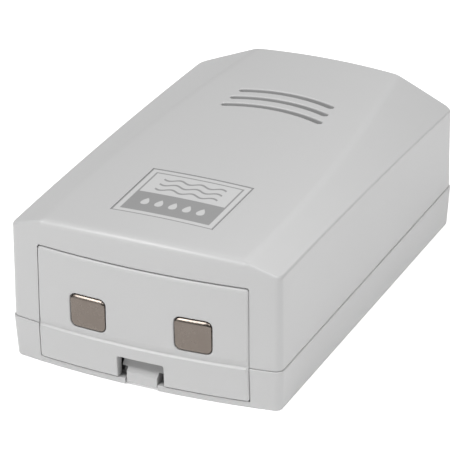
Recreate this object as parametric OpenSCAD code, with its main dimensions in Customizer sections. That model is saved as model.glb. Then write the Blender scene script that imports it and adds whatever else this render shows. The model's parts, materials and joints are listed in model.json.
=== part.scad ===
// Battery-powered water leak sensor in a two-part plastic case, in millimetres.
// The case lies on its flat underside with +Z up and its battery door at the front, towards -Y.
// The origin is the middle of the underside.

/* [Case] */
// Width of the base at the parting line
body_w = 70; // [68:0.5:80]
// Length along the middle, from the front bulge to the back
body_l = 110.8; // [108:0.2:130]
// Height of the top on the centre line at the front end
top_front_h = 39.3; // [38:0.1:44]
// Height of the top on the centre line at the back end
top_back_h = 38.4; // [37.5:0.1:43]
// Height of the parting line between the cover and the base
split_h = 10.6; // [9:0.1:13]
// Thickness of the case walls
wall = 2.2; // [1.6:0.1:2.6]
// Thickness of the base's floor
floor_t = 2; // [1.6:0.1:2.4]
// How far the base stands proud of the cover at the parting line
shell_step = 0.25; // [0.1:0.05:0.6]
// How far the base's wall leans in at the underside
base_draft = 0.6; // [0.2:0.05:1]
// How far the middle of the front face bulges ahead of its corners
front_bow = 3; // [2:0.1:4]
// How far the middle of the back face bulges behind its corners
back_bow = 1.8; // [1:0.1:3]
// Radius of the upright corners outside
corner_r = 2; // [1:0.1:4]
// Radius of the upright corners inside
inner_corner_r = 0.8; // [0.5:0.1:2]
// Height of the lip that stands up inside the seam
rim_h = 1.6; // [1:0.1:2.5]
// Thickness of the seam lip
rim_t = 1; // [0.8:0.1:1.4]
// Gap between the seam lip and the cover's wall
rim_gap = 0.15; // [0.1:0.05:0.3]

/* [Top and chamfers] */
// Radius of the crowned top across the case
crown_r = 300; // [200:10:600]
// Height of the chamfers' lower edge at half length
chamfer_mid_h = 34.2; // [32:0.1:36]
// Slope of the chamfers, in degrees from level
chamfer_slope = 20.9; // [16:0.1:26]
// How much the chamfers fall towards the back, in degrees
chamfer_fall = 1.92; // [1:0.02:2.6]
// Turn of the chamfers' bow, in degrees, which widens them towards the back
chamfer_turn = 39.6; // [20:0.1:50]
// Radius of the chamfers' bow along the case
chamfer_bow_r = 1044; // [800:2:1400]

/* [Sound slots] */
// Number of curved slots over the sounder
slot_count = 3; // [2:1:3]
// Distance from one slot to the next
slot_pitch = 4.4; // [3.5:0.1:4.8]
// Width of a slot
slot_w = 1.7; // [0.8:0.1:1.8]
// Radius of the slots' curve
slot_r = 39; // [30:1:60]
// Half length of the front slot
slot_half = 13.5; // [10:0.1:13.8]
// How much shorter the half length of each next slot is
slot_step = 0.4; // [0:0.1:1]
// Distance from the case's back to the middle of the slots
slots_from_back = 28.6; // [28:0.1:34]

/* [Label] */
// Width of the label
label_w = 26.2; // [20:0.1:30]
// Length of the label
label_l = 23.4; // [18:0.1:28]
// Distance from the front bulge to the label's near edge
label_from_front = 12.7; // [9:0.1:16]
// Thickness of the label
label_t = 0.3; // [0.2:0.05:0.5]
// Depth of the label's face below the top
label_sink = 0.05; // [0:0.01:0.15]
// Gap around the label in its recess
label_gap = 0.12; // [0.05:0.01:0.3]

/* [Battery door] */
// Width of the door
door_w = 54; // [53:0.1:55]
// Thickness of the door
door_t = 2.2; // [1.8:0.1:2.4]
// Height of the door's top edge
door_top_h = 31.3; // [30:0.1:32]
// Height of the door's bottom edge
door_bottom_h = 2.05; // [1.8:0.05:2.6]
// Gap along the door's sides
door_gap = 0.35; // [0.3:0.05:0.5]
// Gap over the door
door_top_gap = 0.4; // [0.3:0.05:0.6]
// Gap under the door
door_bottom_gap = 0.55; // [0.45:0.05:0.8]
// Width that the stop ledges reach behind each side of the door
ledge_w = 1.1; // [0.8:0.1:1.4]
// Thickness of the stop ledges
ledge_t = 1.5; // [1:0.1:2]
// Gap between the closed door and what it stops against
stop_gap = 0.3; // [0.3:0.05:0.5]
// Width of one hinge hook
hook_w = 7; // [5:0.5:9]
// Distance of a hinge hook from the middle
hook_x = 18; // [14:0.5:20]
// Height that a hinge hook reaches behind the cover
hook_h = 2.6; // [2:0.1:3]
// Thickness of a hinge hook
hook_t = 1.5; // [1.2:0.1:1.8]
// Width of the finger notch
notch_w = 12; // [11:0.1:14]
// Height of the finger notch's top edge
notch_h = 7.4; // [7.2:0.1:8]

/* [Electrodes] */
// Distance of an electrode from the middle
electrode_x = 13.6; // [12:0.1:14]
// Height of the electrodes' middle
electrode_h = 17; // [16:0.1:19]
// Width of an electrode's window
window_w = 9.5; // [8:0.1:10]
// Height of an electrode's window
window_h = 8.8; // [8:0.1:10]
// Corner radius of the windows
window_r = 1.6; // [1:0.1:2.5]
// Gap around the electrode in its window
window_gap = 0.1; // [0.05:0.01:0.2]
// Depth of the electrode's crown below the door's face
pad_sink = 0.2; // [0.2:0.05:0.6]
// Radius of the electrode's domed face
pad_dome_r = 18; // [14:1:40]
// Width of the flange around the electrode's back
flange_lip = 1.3; // [1:0.1:1.5]
// Thickness of the electrode's sheet metal
sheet_t = 0.4; // [0.3:0.05:0.5]
// Width of the electrode's contact strip
strip_w = 5; // [4:0.1:6]
// Distance of the contact strip's end from the middle
strip_end_x = 25; // [24.6:0.1:25.2]
// Diameter of the peg that holds the contact strip
peg_d = 1.8; // [1.4:0.1:2.2]
// Distance of the peg from the middle
peg_x = 21; // [20.6:0.1:21.4]
// Gap around the peg in the contact strip
peg_gap = 0.05; // [0.02:0.01:0.1]

/* [Latch] */
// Width of the latch tongue
tongue_w = 8; // [7:0.1:9]
// Width of the slits beside the tongue
slit_w = 0.6; // [0.4:0.05:0.8]
// Length of the tongue from the front bulge to its root
tongue_l = 19; // [17:0.5:20]
// Height of the tongue's underside
tongue_bottom_h = 0.6; // [0.3:0.1:0.8]
// Gap between the tongue's root and the floor
root_gap = 0.3; // [0.3:0.05:0.5]
// Height of the tongue's front lip
tongue_lip_h = 3.9; // [3.5:0.1:4.5]
// Height of the ramp's peak
ramp_peak_h = 6.1; // [5.5:0.1:6.2]
// Distance of the ramp's peak from the front bulge
ramp_back = 4.2; // [3.8:0.1:4.4]
// Gap between the ramp's peak and the catch behind it
catch_gap = 0.6; // [0.4:0.05:1]
// Thickness of the catch bar
catch_t = 1.2; // [1:0.1:1.4]
// Height of the catch bar's lower edge above the ramp's peak
catch_lift = 0.9; // [0.8:0.05:1.2]
// Height of the catch bar
catch_h = 4; // [3:0.1:5]

/* [Battery] */
// Length of the battery's body
cell_l = 46.4; // [45:0.1:46.6]
// Thickness of the battery
cell_t = 17.5; // [16.5:0.1:18]
// Height of the battery on its narrow side
cell_h = 26.5; // [25:0.1:27]
// Radius of the battery's long edges
cell_r = 1.8; // [1:0.1:3]
// Height of the pads that the battery stands on
cell_pad_h = 0.8; // [0.6:0.1:1.2]
// Distance from the front bulge to the battery
cell_from_front = 7.4; // [7.3:0.1:8]
// Distance between the two terminals
terminal_pitch = 12.7; // [12:0.1:13]
// Height of the terminals
terminal_h = 2.1; // [1.8:0.1:2.4]
// Diameter of the plug terminal
plug_d = 5.7; // [5:0.1:6]
// Diameter of the socket terminal
socket_d = 8; // [7:0.1:8.4]
// Wall thickness of the terminals and of what snaps on them
snap_wall = 1; // [0.6:0.1:1.2]
// Gap between the snap's parts and the terminals
snap_gap = 0.1; // [0.05:0.01:0.2]
// Length of the snap connector
snap_l = 25; // [23:0.5:26]
// Width of the snap connector
snap_w = 13; // [12:0.5:15]
// Thickness of the snap connector
snap_t = 4.6; // [4:0.1:4.8]
// Diameter of the leads
lead_d = 1.6; // [1.2:0.1:2]
// Distance between the two leads
lead_pitch = 4; // [3:0.5:5]
// Size of the leads' bends
lead_bend = 4; // [3.5:0.1:4.5]
// Distance of the leads' holes in the board from the middle
lead_foot_x = 6; // [5:0.5:7]
// Distance of the leads' holes from the board's front edge
lead_foot_in = 3; // [2:0.5:4]
// Thickness of the bay's walls
bay_wall = 1.5; // [1.2:0.1:1.6]
// Height of the bay's walls
bay_h = 24; // [21:0.5:26]
// Gap between the battery and the bay
bay_gap = 0.3; // [0.2:0.05:0.5]

/* [Contact springs] */
// Thickness of the spring strip
spring_t = 0.4; // [0.3:0.05:0.5]
// Width of the spring strip
spring_w = 5; // [4:0.1:6]
// Distance of the spring's foot from the middle
spring_foot_x = 13; // [12.5:0.1:14]
// Distance of the spring's tip from the middle
spring_tip_x = 23.6; // [23.4:0.1:24]
// Gap between the spring's tip and the contact strip
spring_tip_gap = 0.3; // [0.3:0.05:0.5]

/* [Circuit board] */
// Thickness of the board
board_t = 1.6; // [1:0.1:2]
// Height of the board's underside
board_h = 8; // [7.5:0.1:9]
// Gap around the board
board_gap = 0.6; // [0.4:0.1:1]
// Distance from the bay's wall to the board
board_from_bay = 2.2; // [2:0.1:3]
// Distance of the board's screws from its corners
board_screw_in = 4.5; // [4:0.1:5]
// Diameter of the posts under the board
post_d = 6; // [5:0.1:7]
// Diameter of the sounder
sounder_d = 30; // [29.6:0.1:31]
// Height of the sounder
sounder_h = 9; // [7:0.5:11]
// Wall thickness of the sounder's case
sounder_wall = 1.2; // [0.8:0.1:1.6]
// Diameter of the sounder's mouth
sounder_mouth_d = 5; // [3:0.5:8]
// Thickness of the sounding disc
disc_t = 0.4; // [0.3:0.05:0.6]
// Diameter of the sounder's pins
pin_d = 0.8; // [0.6:0.05:1]
// Distance between the sounder's pins
pin_pitch = 15; // [12:0.5:20]
// Length of the sounder's pins below the board
pin_tail = 1.2; // [0.8:0.1:1.6]
// Gap between the sounder and the tube that hangs from the cover
tube_gap = 0.3; // [0.2:0.05:0.6]
// Wall thickness of that tube
tube_wall = 1.2; // [1:0.1:1.6]
// Height by which the tube reaches over the sounder
tube_lap = 2.5; // [1:0.1:4]
// Width of the radio board
radio_w = 20; // [16:0.5:21]
// Length of the radio board
radio_l = 16; // [12:0.5:18]
// Thickness of the radio board
radio_t = 1; // [0.8:0.1:1.6]
// Width of the shield can on the radio board
shield_w = 13; // [8:0.5:14]
// Length of the shield can
shield_l = 12; // [8:0.5:13]
// Height of the shield can
shield_h = 2.6; // [2:0.1:4]
// Diameter of the antenna wire
antenna_d = 1; // [0.8:0.1:1.4]
// Height of the antenna's long run
antenna_h = 26; // [22:0.5:28]
// Distance of the antenna's end from its foot
antenna_run = 50; // [40:0.5:52]
// Size of the antenna's bend
antenna_bend = 3; // [2:0.1:4]
// Distance of the antenna's foot from the radio board's edge
antenna_in = 1.5; // [1:0.1:2]
// Width of the controller's body
chip_w = 7.5; // [6:0.1:8]
// Length of the controller's body
chip_l = 10.3; // [8:0.1:12]
// Height of the controller
chip_h = 2.4; // [1.6:0.1:3]
// Distance of the controller from the middle
chip_x = 4; // [3:0.5:4.5]
// Thickness of the controller's leads
chip_lead_t = 0.4; // [0.3:0.05:0.5]
// Number of leads on each side of the controller
chip_leads = 8; // [4:1:8]
// Diameter of a capacitor
cap_d = 8; // [6:0.1:9]
// Height of a capacitor
cap_h = 11; // [8:0.5:13]
// Distance between the two capacitors
cap_pitch = 10; // [9:0.5:11]

/* [Screws and wall mount] */
// Diameter of the bosses for the case screws
boss_d = 6.6; // [6:0.1:7]
// Diameter of a case screw's shank
case_screw_d = 2.9; // [2.5:0.1:3.2]
// Length of a case screw under its head
case_screw_l = 16; // [12:0.5:18]
// Diameter of a case screw's head
case_head_d = 5.4; // [5:0.1:5.6]
// Height of a case screw's head
case_head_h = 2.2; // [1.8:0.1:2.4]
// Depth of the case screws' heads below the underside
case_head_sink = 1.3; // [0.8:0.1:1.8]
// Diameter of a board screw's shank
board_screw_d = 2; // [1.8:0.1:2.4]
// Length of a board screw under its head
board_screw_l = 6; // [5:0.1:6.4]
// Diameter of a board screw's head
board_head_d = 4.2; // [3.8:0.1:4.6]
// Height of a board screw's head
board_head_h = 1.5; // [1.2:0.1:2]
// Radial gap around a screw's shank in its pilot hole
screw_gap = 0.05; // [0.02:0.01:0.1]
// Width of the cross slot in the screw heads
drive_w = 0.7; // [0.5:0.1:1]
// Depth of the cross slot in the screw heads
drive_depth = 0.8; // [0.5:0.1:1]
// Diameter of a keyhole's entry
keyhole_d = 8.5; // [8:0.1:10]
// Width of a keyhole's slot
keyhole_slot_w = 4.4; // [4:0.1:5]
// Length of a keyhole from its entry to the slot's end
keyhole_run = 8; // [7:0.5:10]
// Distance between the two keyholes
keyhole_pitch = 50; // [40:1:52]

/* [Hidden] */

// Facets of large and small round shapes
$fn = 64;
big_fn = 720;
// Steps along the plan's arcs
bow_steps = 16;
corner_steps = 6;
// Overshoot of cutting tools, reach of shapes that are trimmed later and the slack of such a trim
cut = 1;
reach = 200;
trim = 0.05;

// Plan of the case
half_w = body_w / 2;
half_l = body_l / 2;
front_y = -half_l;
front_r = (half_w * half_w + front_bow * front_bow) / (2 * front_bow);
back_r = (half_w * half_w + back_bow * back_bow) / (2 * back_bow);
front_cy = front_y + front_r;
back_cy = half_l - back_r;
top_mid_h = (top_front_h + top_back_h) / 2;
top_fall = atan((top_front_h - top_back_h) / body_l);
cover_half_w = half_w - shell_step;
rim_in = shell_step + wall + rim_gap;

// Front face at a given distance from the middle, and the same set back by an inset
function face_y(x, inset = 0) = front_cy - sqrt(pow(front_r - inset, 2) - x * x);
// Back face at a given distance from the middle, set in by an inset
function rear_y(x, inset = 0) = back_cy + sqrt(pow(back_r - inset, 2) - x * x);

// Door and its frame
door_half = door_w / 2;
opening_half = door_half + door_gap;
opening_top_h = door_top_h + door_top_gap;
lip_h = door_bottom_h - door_bottom_gap;
door_in = shell_step + door_t;
ledge_x = door_half - ledge_w;
ledge_in = door_in + stop_gap;
ledge_out_x = opening_half + ledge_w + ledge_t;
hook_in = shell_step + wall + stop_gap;

// Electrodes, their contact strips and the springs that meet them
seat_y = face_y(strip_end_x, door_in) + stop_gap / 2;
seat_half_w = window_w / 2 + flange_lip + stop_gap;
seat_half_h = window_h / 2 + flange_lip + stop_gap;
pad_y = face_y(electrode_x, shell_step) + pad_sink;
strip_back_y = seat_y + sheet_t;
spring_tip_y = strip_back_y + spring_tip_gap;

// Battery and its bay
cell_y = front_y + cell_from_front + cell_t / 2;
cell_front_y = front_y + cell_from_front;
cell_z = floor_t + cell_pad_h + cell_h / 2;
bay_half = (cell_l + snap_t + 3 * bay_gap) / 2;
snap_x = bay_half - bay_gap - snap_t;
cell_end_x = snap_x - bay_gap;
cell_start_x = cell_end_x - cell_l;
bay_front_y = cell_front_y - bay_gap;
bay_back_y = cell_front_y + cell_t + bay_gap;
bay_end_y = bay_back_y + bay_wall;
spring_front_y = bay_front_y - spring_t;
spring_side_x = bay_half + bay_wall + spring_t / 2;
pocket_depth = terminal_h + snap_gap;
terminal_x = cell_end_x;

// Case screws and the board between them
boss_r = boss_d / 2;
boss_x = cover_half_w - wall - rim_gap - rim_t - bay_gap - boss_r;
boss_front_y = bay_end_y + board_from_bay + boss_r;
boss_back_y = rear_y(boss_x, rim_in + rim_t) - bay_gap - boss_r;
bosses = [for (y = [boss_front_y, boss_back_y], s = [1, -1]) [s * boss_x, y]];
case_head_z = case_head_sink + case_head_h;
board_half_w = boss_x - boss_r - board_gap;
board_front_y = bay_end_y + board_from_bay;
board_back_y = boss_back_y + boss_r / 2;
board_top = board_h + board_t;
post_x = board_half_w - board_screw_in;
post_front_y = board_front_y + board_screw_in;
post_back_y = board_back_y - board_screw_in;
posts = [for (y = [post_front_y, post_back_y], s = [1, -1]) [s * post_x, y]];
spring_turn_y = bay_end_y + board_from_bay / 2;
spring_foot_y = post_front_y;

// Sounder under the slots, with the other pieces on the board
sounder_y = half_l - slots_from_back;
sounder_r = sounder_d / 2;
sounder_top = board_top + sounder_h;
disc_z = sounder_top - sounder_wall * 3;
radio_x = -board_half_w + board_gap + radio_w / 2;
radio_y = post_front_y + post_d / 2 + radio_l / 2;
antenna_x = radio_x - radio_w / 2 + antenna_in;
chip_y = radio_y;
caps = [for (i = [0, 1]) [board_half_w - cap_d, radio_y + i * cap_pitch]];
label_y = front_y + label_from_front + label_l / 2;

// Wall mount
keyholes_y = (board_front_y + board_back_y - keyhole_run) / 2;
keyholes = [for (s = [-1, 1]) [0, keyholes_y + s * keyhole_pitch / 2]];

// Routes of the wires: offsets in bends from what each end is joined to
lead_start = [snap_x + snap_t / 2, cell_y, cell_z + snap_l / 2];
lead_end = [lead_foot_x, board_front_y + lead_foot_in, board_top];
function lead_route(s) =
  let (
    side = [0, s * lead_pitch / 2, 0],
    foot = [s * lead_pitch / 2, 0, 0]
  )
  [
    lead_start + side,
    lead_start + side + lead_bend * [0, 0, 0.4],
    lead_start + side + lead_bend * [-0.25, 0.5, 0.75],
    lead_start + side + lead_bend * [-1, 1.5, 0.9],
    lead_end + side + lead_bend * [2, -1, 5],
    lead_end + foot + lead_bend * [0.25, -0.25, 3.5],
    lead_end + foot + lead_bend * [0, 0, 1.5],
    lead_end + foot
  ];
antenna_foot = [antenna_x, radio_y, board_top + radio_t];
antenna_top = [antenna_x, radio_y, antenna_h];
antenna_route = [
  antenna_foot,
  antenna_top + antenna_bend * [0, 0, -2.5],
  antenna_top + antenna_bend * [0, 0.2, -1],
  antenna_top + antenna_bend * [0, 1, -0.2],
  antenna_top + antenna_bend * [0, 2.5, 0],
  antenna_top + [0, antenna_run / 2, 0],
  antenna_top + [0, antenna_run, 0]
];

// Points of an arc about a centre
function arc(cx, cy, r, a0, a1, n) = [
  for (i = [0:n]) let (a = a0 + (a1 - a0) * i / n) [cx + r * cos(a), cy + r * sin(a)]
];

// Plan of the case set in by an inset, with its bowed ends and round corners
function plan(inset, r) =
  let (
    x = half_w - inset - r,
    fy = front_cy - sqrt(pow(front_r - inset - r, 2) - x * x),
    by = back_cy + sqrt(pow(back_r - inset - r, 2) - x * x),
    af = atan2(fy - front_cy, x),
    ab = atan2(by - back_cy, x),
    front = arc(0, front_cy, front_r - inset, -180 - af, af, bow_steps),
    back = arc(0, back_cy, back_r - inset, ab, 180 - ab, bow_steps)
  )
  concat(
    arc(x, fy, r, af, 0, corner_steps), arc(x, by, r, 0, ab, corner_steps),
    [for (i = [1:bow_steps - 1]) back[i]],
    arc(-x, by, r, 180 - ab, 180, corner_steps), arc(-x, fy, r, 180, 180 - af, corner_steps),
    [for (i = [1:bow_steps - 1]) front[i]]
  );

// Rectangle about the origin with round corners
function round_rect(w, h, r) =
  let (x = w / 2 - r, y = h / 2 - r)
  concat(
    arc(x, y, r, 0, 90, corner_steps), arc(-x, y, r, 90, 180, corner_steps),
    arc(-x, -y, r, 180, 270, corner_steps), arc(x, -y, r, 270, 360, corner_steps)
  );

// Smooth path through a list of points
function spline_at(a, b, c, d, t) =
  0.5 * ((2 * b) + (c - a) * t + (2 * a - 5 * b + 4 * c - d) * t * t + (3 * b - a - 3 * c + d) * t * t * t);
function spline(p, n) = concat(
  [for (i = [0:len(p) - 2], k = [0:n - 1])
    spline_at(p[max(i - 1, 0)], p[i], p[i + 1], p[min(i + 2, len(p) - 1)], k / n)],
  [p[len(p) - 1]]
);

// Round wire along a path that runs mainly across the X axis, square to what its ends meet
module wire(route, d, steps = 3, sides = 8) {
  path = spline(route, steps);
  last = len(path) - 1;
  end = len(route) - 1;
  rings = [for (i = [0:last]) let (
    inner = path[min(i + 1, last)] - path[max(i - 1, 0)],
    along = i == 0 ? route[1] - route[0] : i == last ? route[end] - route[end - 1] : inner,
    t = along / norm(along),
    u0 = [1, 0, 0] - t[0] * t,
    u = u0 / norm(u0),
    v = cross(t, u)
  ) [for (k = [0:sides - 1]) path[i] + d / 2 * (cos(360 * k / sides) * u + sin(360 * k / sides) * v)]];
  skin = [for (i = [0:last - 1], k = [0:sides - 1]) let (
    a = i * sides + k, b = i * sides + (k + 1) % sides
  ) each [[a, a + sides, b], [b, a + sides, b + sides]]];
  tip = last * sides;
  ends = [for (k = [1:sides - 2]) each [[0, k, k + 1], [tip, tip + k + 1, tip + k]]];
  polyhedron([for (ring = rings) each ring], concat(skin, ends));
}

module plan_prism(inset, r, z0, z1) {
  translate([0, 0, z0]) linear_extrude(z1 - z0) polygon(plan(inset, r));
}

// Band of the case's front between two insets, from one x to another
module front_band(inset0, inset1, x0, x1, z0, z1) {
  side_x = min(max(abs(x0), abs(x1)), half_w - inset1);
  deep_y = face_y(side_x, inset1) + trim;
  translate([0, 0, z0]) linear_extrude(z1 - z0) intersection() {
    difference() {
      polygon(plan(inset0, corner_r));
      polygon(plan(inset1, inner_corner_r));
    }
    translate([x0, -reach]) square([x1 - x0, reach + deep_y]);
  }
}

// Crowned top: everything below a wide cylinder that falls towards the back
module under_crown(inset) {
  translate([0, 0, top_mid_h - crown_r]) rotate([90 - top_fall, 0, 0])
    cylinder(r = crown_r - inset, h = 2 * reach, center = true, $fn = big_fn);
}

// Side chamfer: everything below a very wide cylinder that lies aslant
module under_chamfer(inset) {
  translate([cover_half_w, 0, chamfer_mid_h]) rotate([-chamfer_fall, 0, 0])
    rotate([0, chamfer_slope, 0]) rotate([0, 0, -chamfer_turn])
      translate([0, 0, -chamfer_bow_r]) rotate([0, 90, 0])
        cylinder(r = chamfer_bow_r - inset, h = 2 * reach, center = true, $fn = 2 * big_fn);
}

// Solid form of the cover, set in by an inset
module cover_form(inset, r, z0) {
  intersection() {
    plan_prism(shell_step + inset, r, z0, top_front_h + cut);
    under_crown(inset);
    under_chamfer(inset);
    mirror([1, 0, 0]) under_chamfer(inset);
  }
}

// Solid form of the base, whose walls lean in towards the underside
module base_form() {
  flare = [half_w / (half_w - base_draft), half_l / (half_l - base_draft)];
  linear_extrude(split_h, scale = flare, slices = 1, $fn = 0) polygon(plan(base_draft, corner_r));
}

// Ledges that the door's sides stop against
module door_ledges(z0, z1) {
  for (s = [0, 1]) mirror([s, 0, 0]) {
    front_band(ledge_in, ledge_in + ledge_t, ledge_x, ledge_out_x, z0, z1);
    front_band(shell_step + wall / 2, ledge_in + ledge_t, opening_half + door_gap, ledge_out_x, z0, z1);
  }
}

module sound_slots() {
  for (i = [0:slot_count - 1]) {
    span = asin((slot_half - i * slot_step) / slot_r);
    mid_y = sounder_y + (i - (slot_count - 1) / 2) * slot_pitch;
    translate([0, mid_y - slot_r, top_back_h - 3 * wall])
      rotate_extrude(angle = 2 * span, start = 90 - span, $fn = 180)
        translate([slot_r - slot_w / 2, 0]) square([slot_w, 6 * wall]);
  }
}

module top_cover() {
  tube_deep = top_back_h - wall - sounder_top + tube_lap;
  screw_deep = case_head_z + case_screw_l - split_h + 3 * cut;
  color([0.8, 0.8, 0.79]) difference() {
    union() {
      difference() {
        cover_form(0, corner_r, split_h);
        cover_form(wall, inner_corner_r, split_h - cut);
        translate([-opening_half, front_y - cut, split_h - cut])
          cube([2 * opening_half, front_bow + wall + 2 * cut, opening_top_h - split_h + cut]);
      }
      intersection() {
        cover_form(wall / 2, inner_corner_r, split_h);
        union() {
          for (b = bosses) translate([b[0], b[1], split_h]) cylinder(d = boss_d, h = top_front_h);
          translate([0, sounder_y, sounder_top - tube_lap]) difference() {
            cylinder(r = sounder_r + tube_gap + tube_wall, h = top_front_h);
            translate([0, 0, -cut]) cylinder(r = sounder_r + tube_gap, h = tube_deep);
          }
          door_ledges(split_h, opening_top_h);
        }
      }
    }
    sound_slots();
    for (b = bosses) translate([b[0], b[1], split_h - cut])
      cylinder(d = case_screw_d + 2 * screw_gap, h = screw_deep);
    label_block(label_w + 2 * label_gap, label_l + 2 * label_gap, -cut, label_sink + label_t);
  }
}

module keyhole(p) {
  translate([p[0], p[1], -cut]) {
    cylinder(d = keyhole_d, h = floor_t + 2 * cut);
    translate([-keyhole_slot_w / 2, 0, 0]) cube([keyhole_slot_w, keyhole_run, floor_t + 2 * cut]);
    translate([0, keyhole_run, 0]) cylinder(d = keyhole_slot_w, h = floor_t + 2 * cut);
  }
}

// Walls of the battery bay and the pads under the battery
module battery_bay() {
  wall_h = bay_h - floor_t + cut;
  pad_l = 4 * bay_wall;
  pad_w = 2 * bay_wall;
  translate([0, 0, floor_t - cut]) {
    for (s = [0, 1]) mirror([s, 0, 0])
      translate([bay_half, bay_front_y, 0]) cube([bay_wall, bay_end_y - bay_front_y, wall_h]);
    translate([-bay_half - cut / 2, bay_back_y, 0]) cube([2 * bay_half + cut, bay_wall, wall_h]);
    for (x = [cell_start_x + pad_l, cell_end_x - pad_l], y = [cell_y - pad_w, cell_y + pad_w])
      translate([x - pad_l / 2, y - pad_w / 2, 0]) cube([pad_l, pad_w, cell_pad_h + cut]);
  }
}

module base() {
  slot_half_w = tongue_w / 2 + slit_w;
  slot_l = tongue_l + root_gap;
  boss_foot_h = split_h - floor_t / 2;
  post_foot_h = board_h - floor_t / 2;
  color([0.79, 0.79, 0.78]) difference() {
    union() {
      difference() {
        base_form();
        plan_prism(shell_step + wall, inner_corner_r, floor_t, split_h + cut);
      }
      difference() {
        plan_prism(rim_in, inner_corner_r, floor_t, split_h + rim_h);
        plan_prism(rim_in + rim_t, inner_corner_r, floor_t - cut, split_h + rim_h + cut);
        translate([-ledge_out_x - stop_gap, front_y, floor_t])
          cube([2 * (ledge_out_x + stop_gap), 2 * front_bow + 2 * wall, split_h + rim_h]);
      }
      difference() {
        plan_prism(shell_step + wall - rim_gap, inner_corner_r, floor_t - rim_gap, split_h - rim_h);
        plan_prism(rim_in + rim_gap, inner_corner_r, floor_t - cut, split_h);
      }
      battery_bay();
      door_ledges(floor_t - rim_gap, split_h);
      for (b = bosses) translate([b[0], b[1], floor_t / 2]) cylinder(d = boss_d + wall / 2, h = boss_foot_h);
      for (p = posts) translate([p[0], p[1], floor_t / 2]) cylinder(d = post_d, h = post_foot_h);
    }
    front_band(-cut, door_in + stop_gap, -opening_half, opening_half, lip_h, split_h + cut);
    translate([-slot_half_w, front_y - cut, -cut]) cube([2 * slot_half_w, slot_l + cut, floor_t + 2 * cut]);
    for (b = bosses) translate([b[0], b[1], -cut]) {
      cylinder(d = case_screw_d + 4 * screw_gap, h = split_h + 2 * cut);
      cylinder(d = case_head_d + 4 * screw_gap, h = case_head_z + cut);
    }
    for (p = posts) translate([p[0], p[1], board_top - board_screw_l - cut / 2])
      cylinder(d = board_screw_d + 2 * screw_gap, h = board_screw_l + cut);
    for (k = keyholes) keyhole(k);
  }
}

// Opening for an electrode, from the front through to the back of its seat
module window(x, grow, y0, y1) {
  outline = round_rect(window_w + 2 * grow, window_h + 2 * grow, window_r + grow);
  translate([x, y0, electrode_h]) rotate([-90, 0, 0]) linear_extrude(y1 - y0) polygon(outline);
}

module battery_door() {
  catch_y = front_y + ramp_back + catch_gap;
  catch_z = ramp_peak_h + catch_lift;
  catch_half = tongue_w / 2 + catch_t;
  seat_root_y = face_y(0, door_in) - door_t / 2;
  peg_root_y = face_y(peg_x, door_in) - door_t / 2;
  color([0.81, 0.81, 0.8]) difference() {
    union() {
      front_band(shell_step, door_in, -door_half, door_half, split_h, door_top_h);
      difference() {
        intersection() {
          base_form();
          translate([-door_half, front_y, door_bottom_h]) cube([door_w, half_l, split_h]);
        }
        plan_prism(door_in, inner_corner_r, -cut, split_h + cut);
      }
      for (s = [-1, 1]) {
        translate([s * electrode_x - seat_half_w, seat_root_y, electrode_h - seat_half_h])
          cube([2 * seat_half_w, seat_y - seat_root_y, 2 * seat_half_h]);
        translate([s * peg_x, peg_root_y, electrode_h]) rotate([-90, 0, 0])
          cylinder(d = peg_d, h = strip_back_y - peg_root_y);
        translate([s * hook_x, 0, 0]) door_hook();
      }
      for (x = [-catch_half, catch_half - catch_t]) translate([x, seat_root_y, catch_z])
        cube([catch_t, catch_y + catch_t - seat_root_y, catch_h]);
      translate([-catch_half, catch_y, catch_z]) cube([2 * catch_half, catch_t, catch_h]);
    }
    for (s = [-1, 1]) window(s * electrode_x, 0, front_y - cut, seat_y + cut);
    translate([-notch_w / 2, front_y - cut, 0]) cube([notch_w, wall + door_t + 2 * cut, notch_h]);
  }
}

// Hook that reaches up behind the cover's wall above the door
module door_hook() {
  y0 = face_y(hook_x + hook_w / 2, hook_in);
  foot_y = face_y(hook_x - hook_w / 2, shell_step) + door_t / 2;
  translate([-hook_w / 2, y0, door_top_h - 2 * hook_h]) cube([hook_w, hook_t, 3 * hook_h]);
  translate([-hook_w / 2, foot_y, door_top_h - 2 * hook_h]) cube([hook_w, y0 + hook_t - foot_y, hook_h]);
}

// Tongue of the floor with the ramp that holds the door
module latch_tongue() {
  front = front_y + base_draft + shell_step;
  root = front_y + tongue_l;
  back = front_y + ramp_back;
  color([0.77, 0.77, 0.76]) rotate([90, 0, 90]) translate([0, 0, -tongue_w / 2]) linear_extrude(tongue_w)
    polygon([
      [front, tongue_bottom_h], [root, tongue_bottom_h], [root, floor_t], [back, floor_t],
      [back, ramp_peak_h], [back - wall / 4, ramp_peak_h],
      [front + wall / 8, tongue_lip_h], [front, tongue_lip_h - wall / 8]
    ]);
}

// Domed metal pad in the door, with its flange and the strip that leads to the contact
module electrode(s) {
  color([0.6, 0.55, 0.5]) difference() {
    union() {
      intersection() {
        window(s * electrode_x, -window_gap, pad_y - cut, strip_back_y);
        translate([s * electrode_x, pad_y + pad_dome_r, electrode_h]) sphere(r = pad_dome_r, $fn = 180);
      }
      window(s * electrode_x, flange_lip, seat_y, strip_back_y);
      translate([s > 0 ? electrode_x : -strip_end_x, seat_y, electrode_h - strip_w / 2])
        cube([strip_end_x - electrode_x, sheet_t, strip_w]);
    }
    translate([s * electrode_x, seat_y + sheet_t / 2, electrode_h]) rotate([-90, 0, 0])
      linear_extrude(sheet_t) polygon(round_rect(window_w / 2, window_h / 2, window_r / 2));
    translate([s * peg_x, seat_y - cut, electrode_h]) rotate([-90, 0, 0])
      cylinder(d = peg_d + 2 * peg_gap, h = sheet_t + 2 * cut);
  }
}

module left_electrode() { electrode(-1); }
module right_electrode() { electrode(1); }

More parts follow.
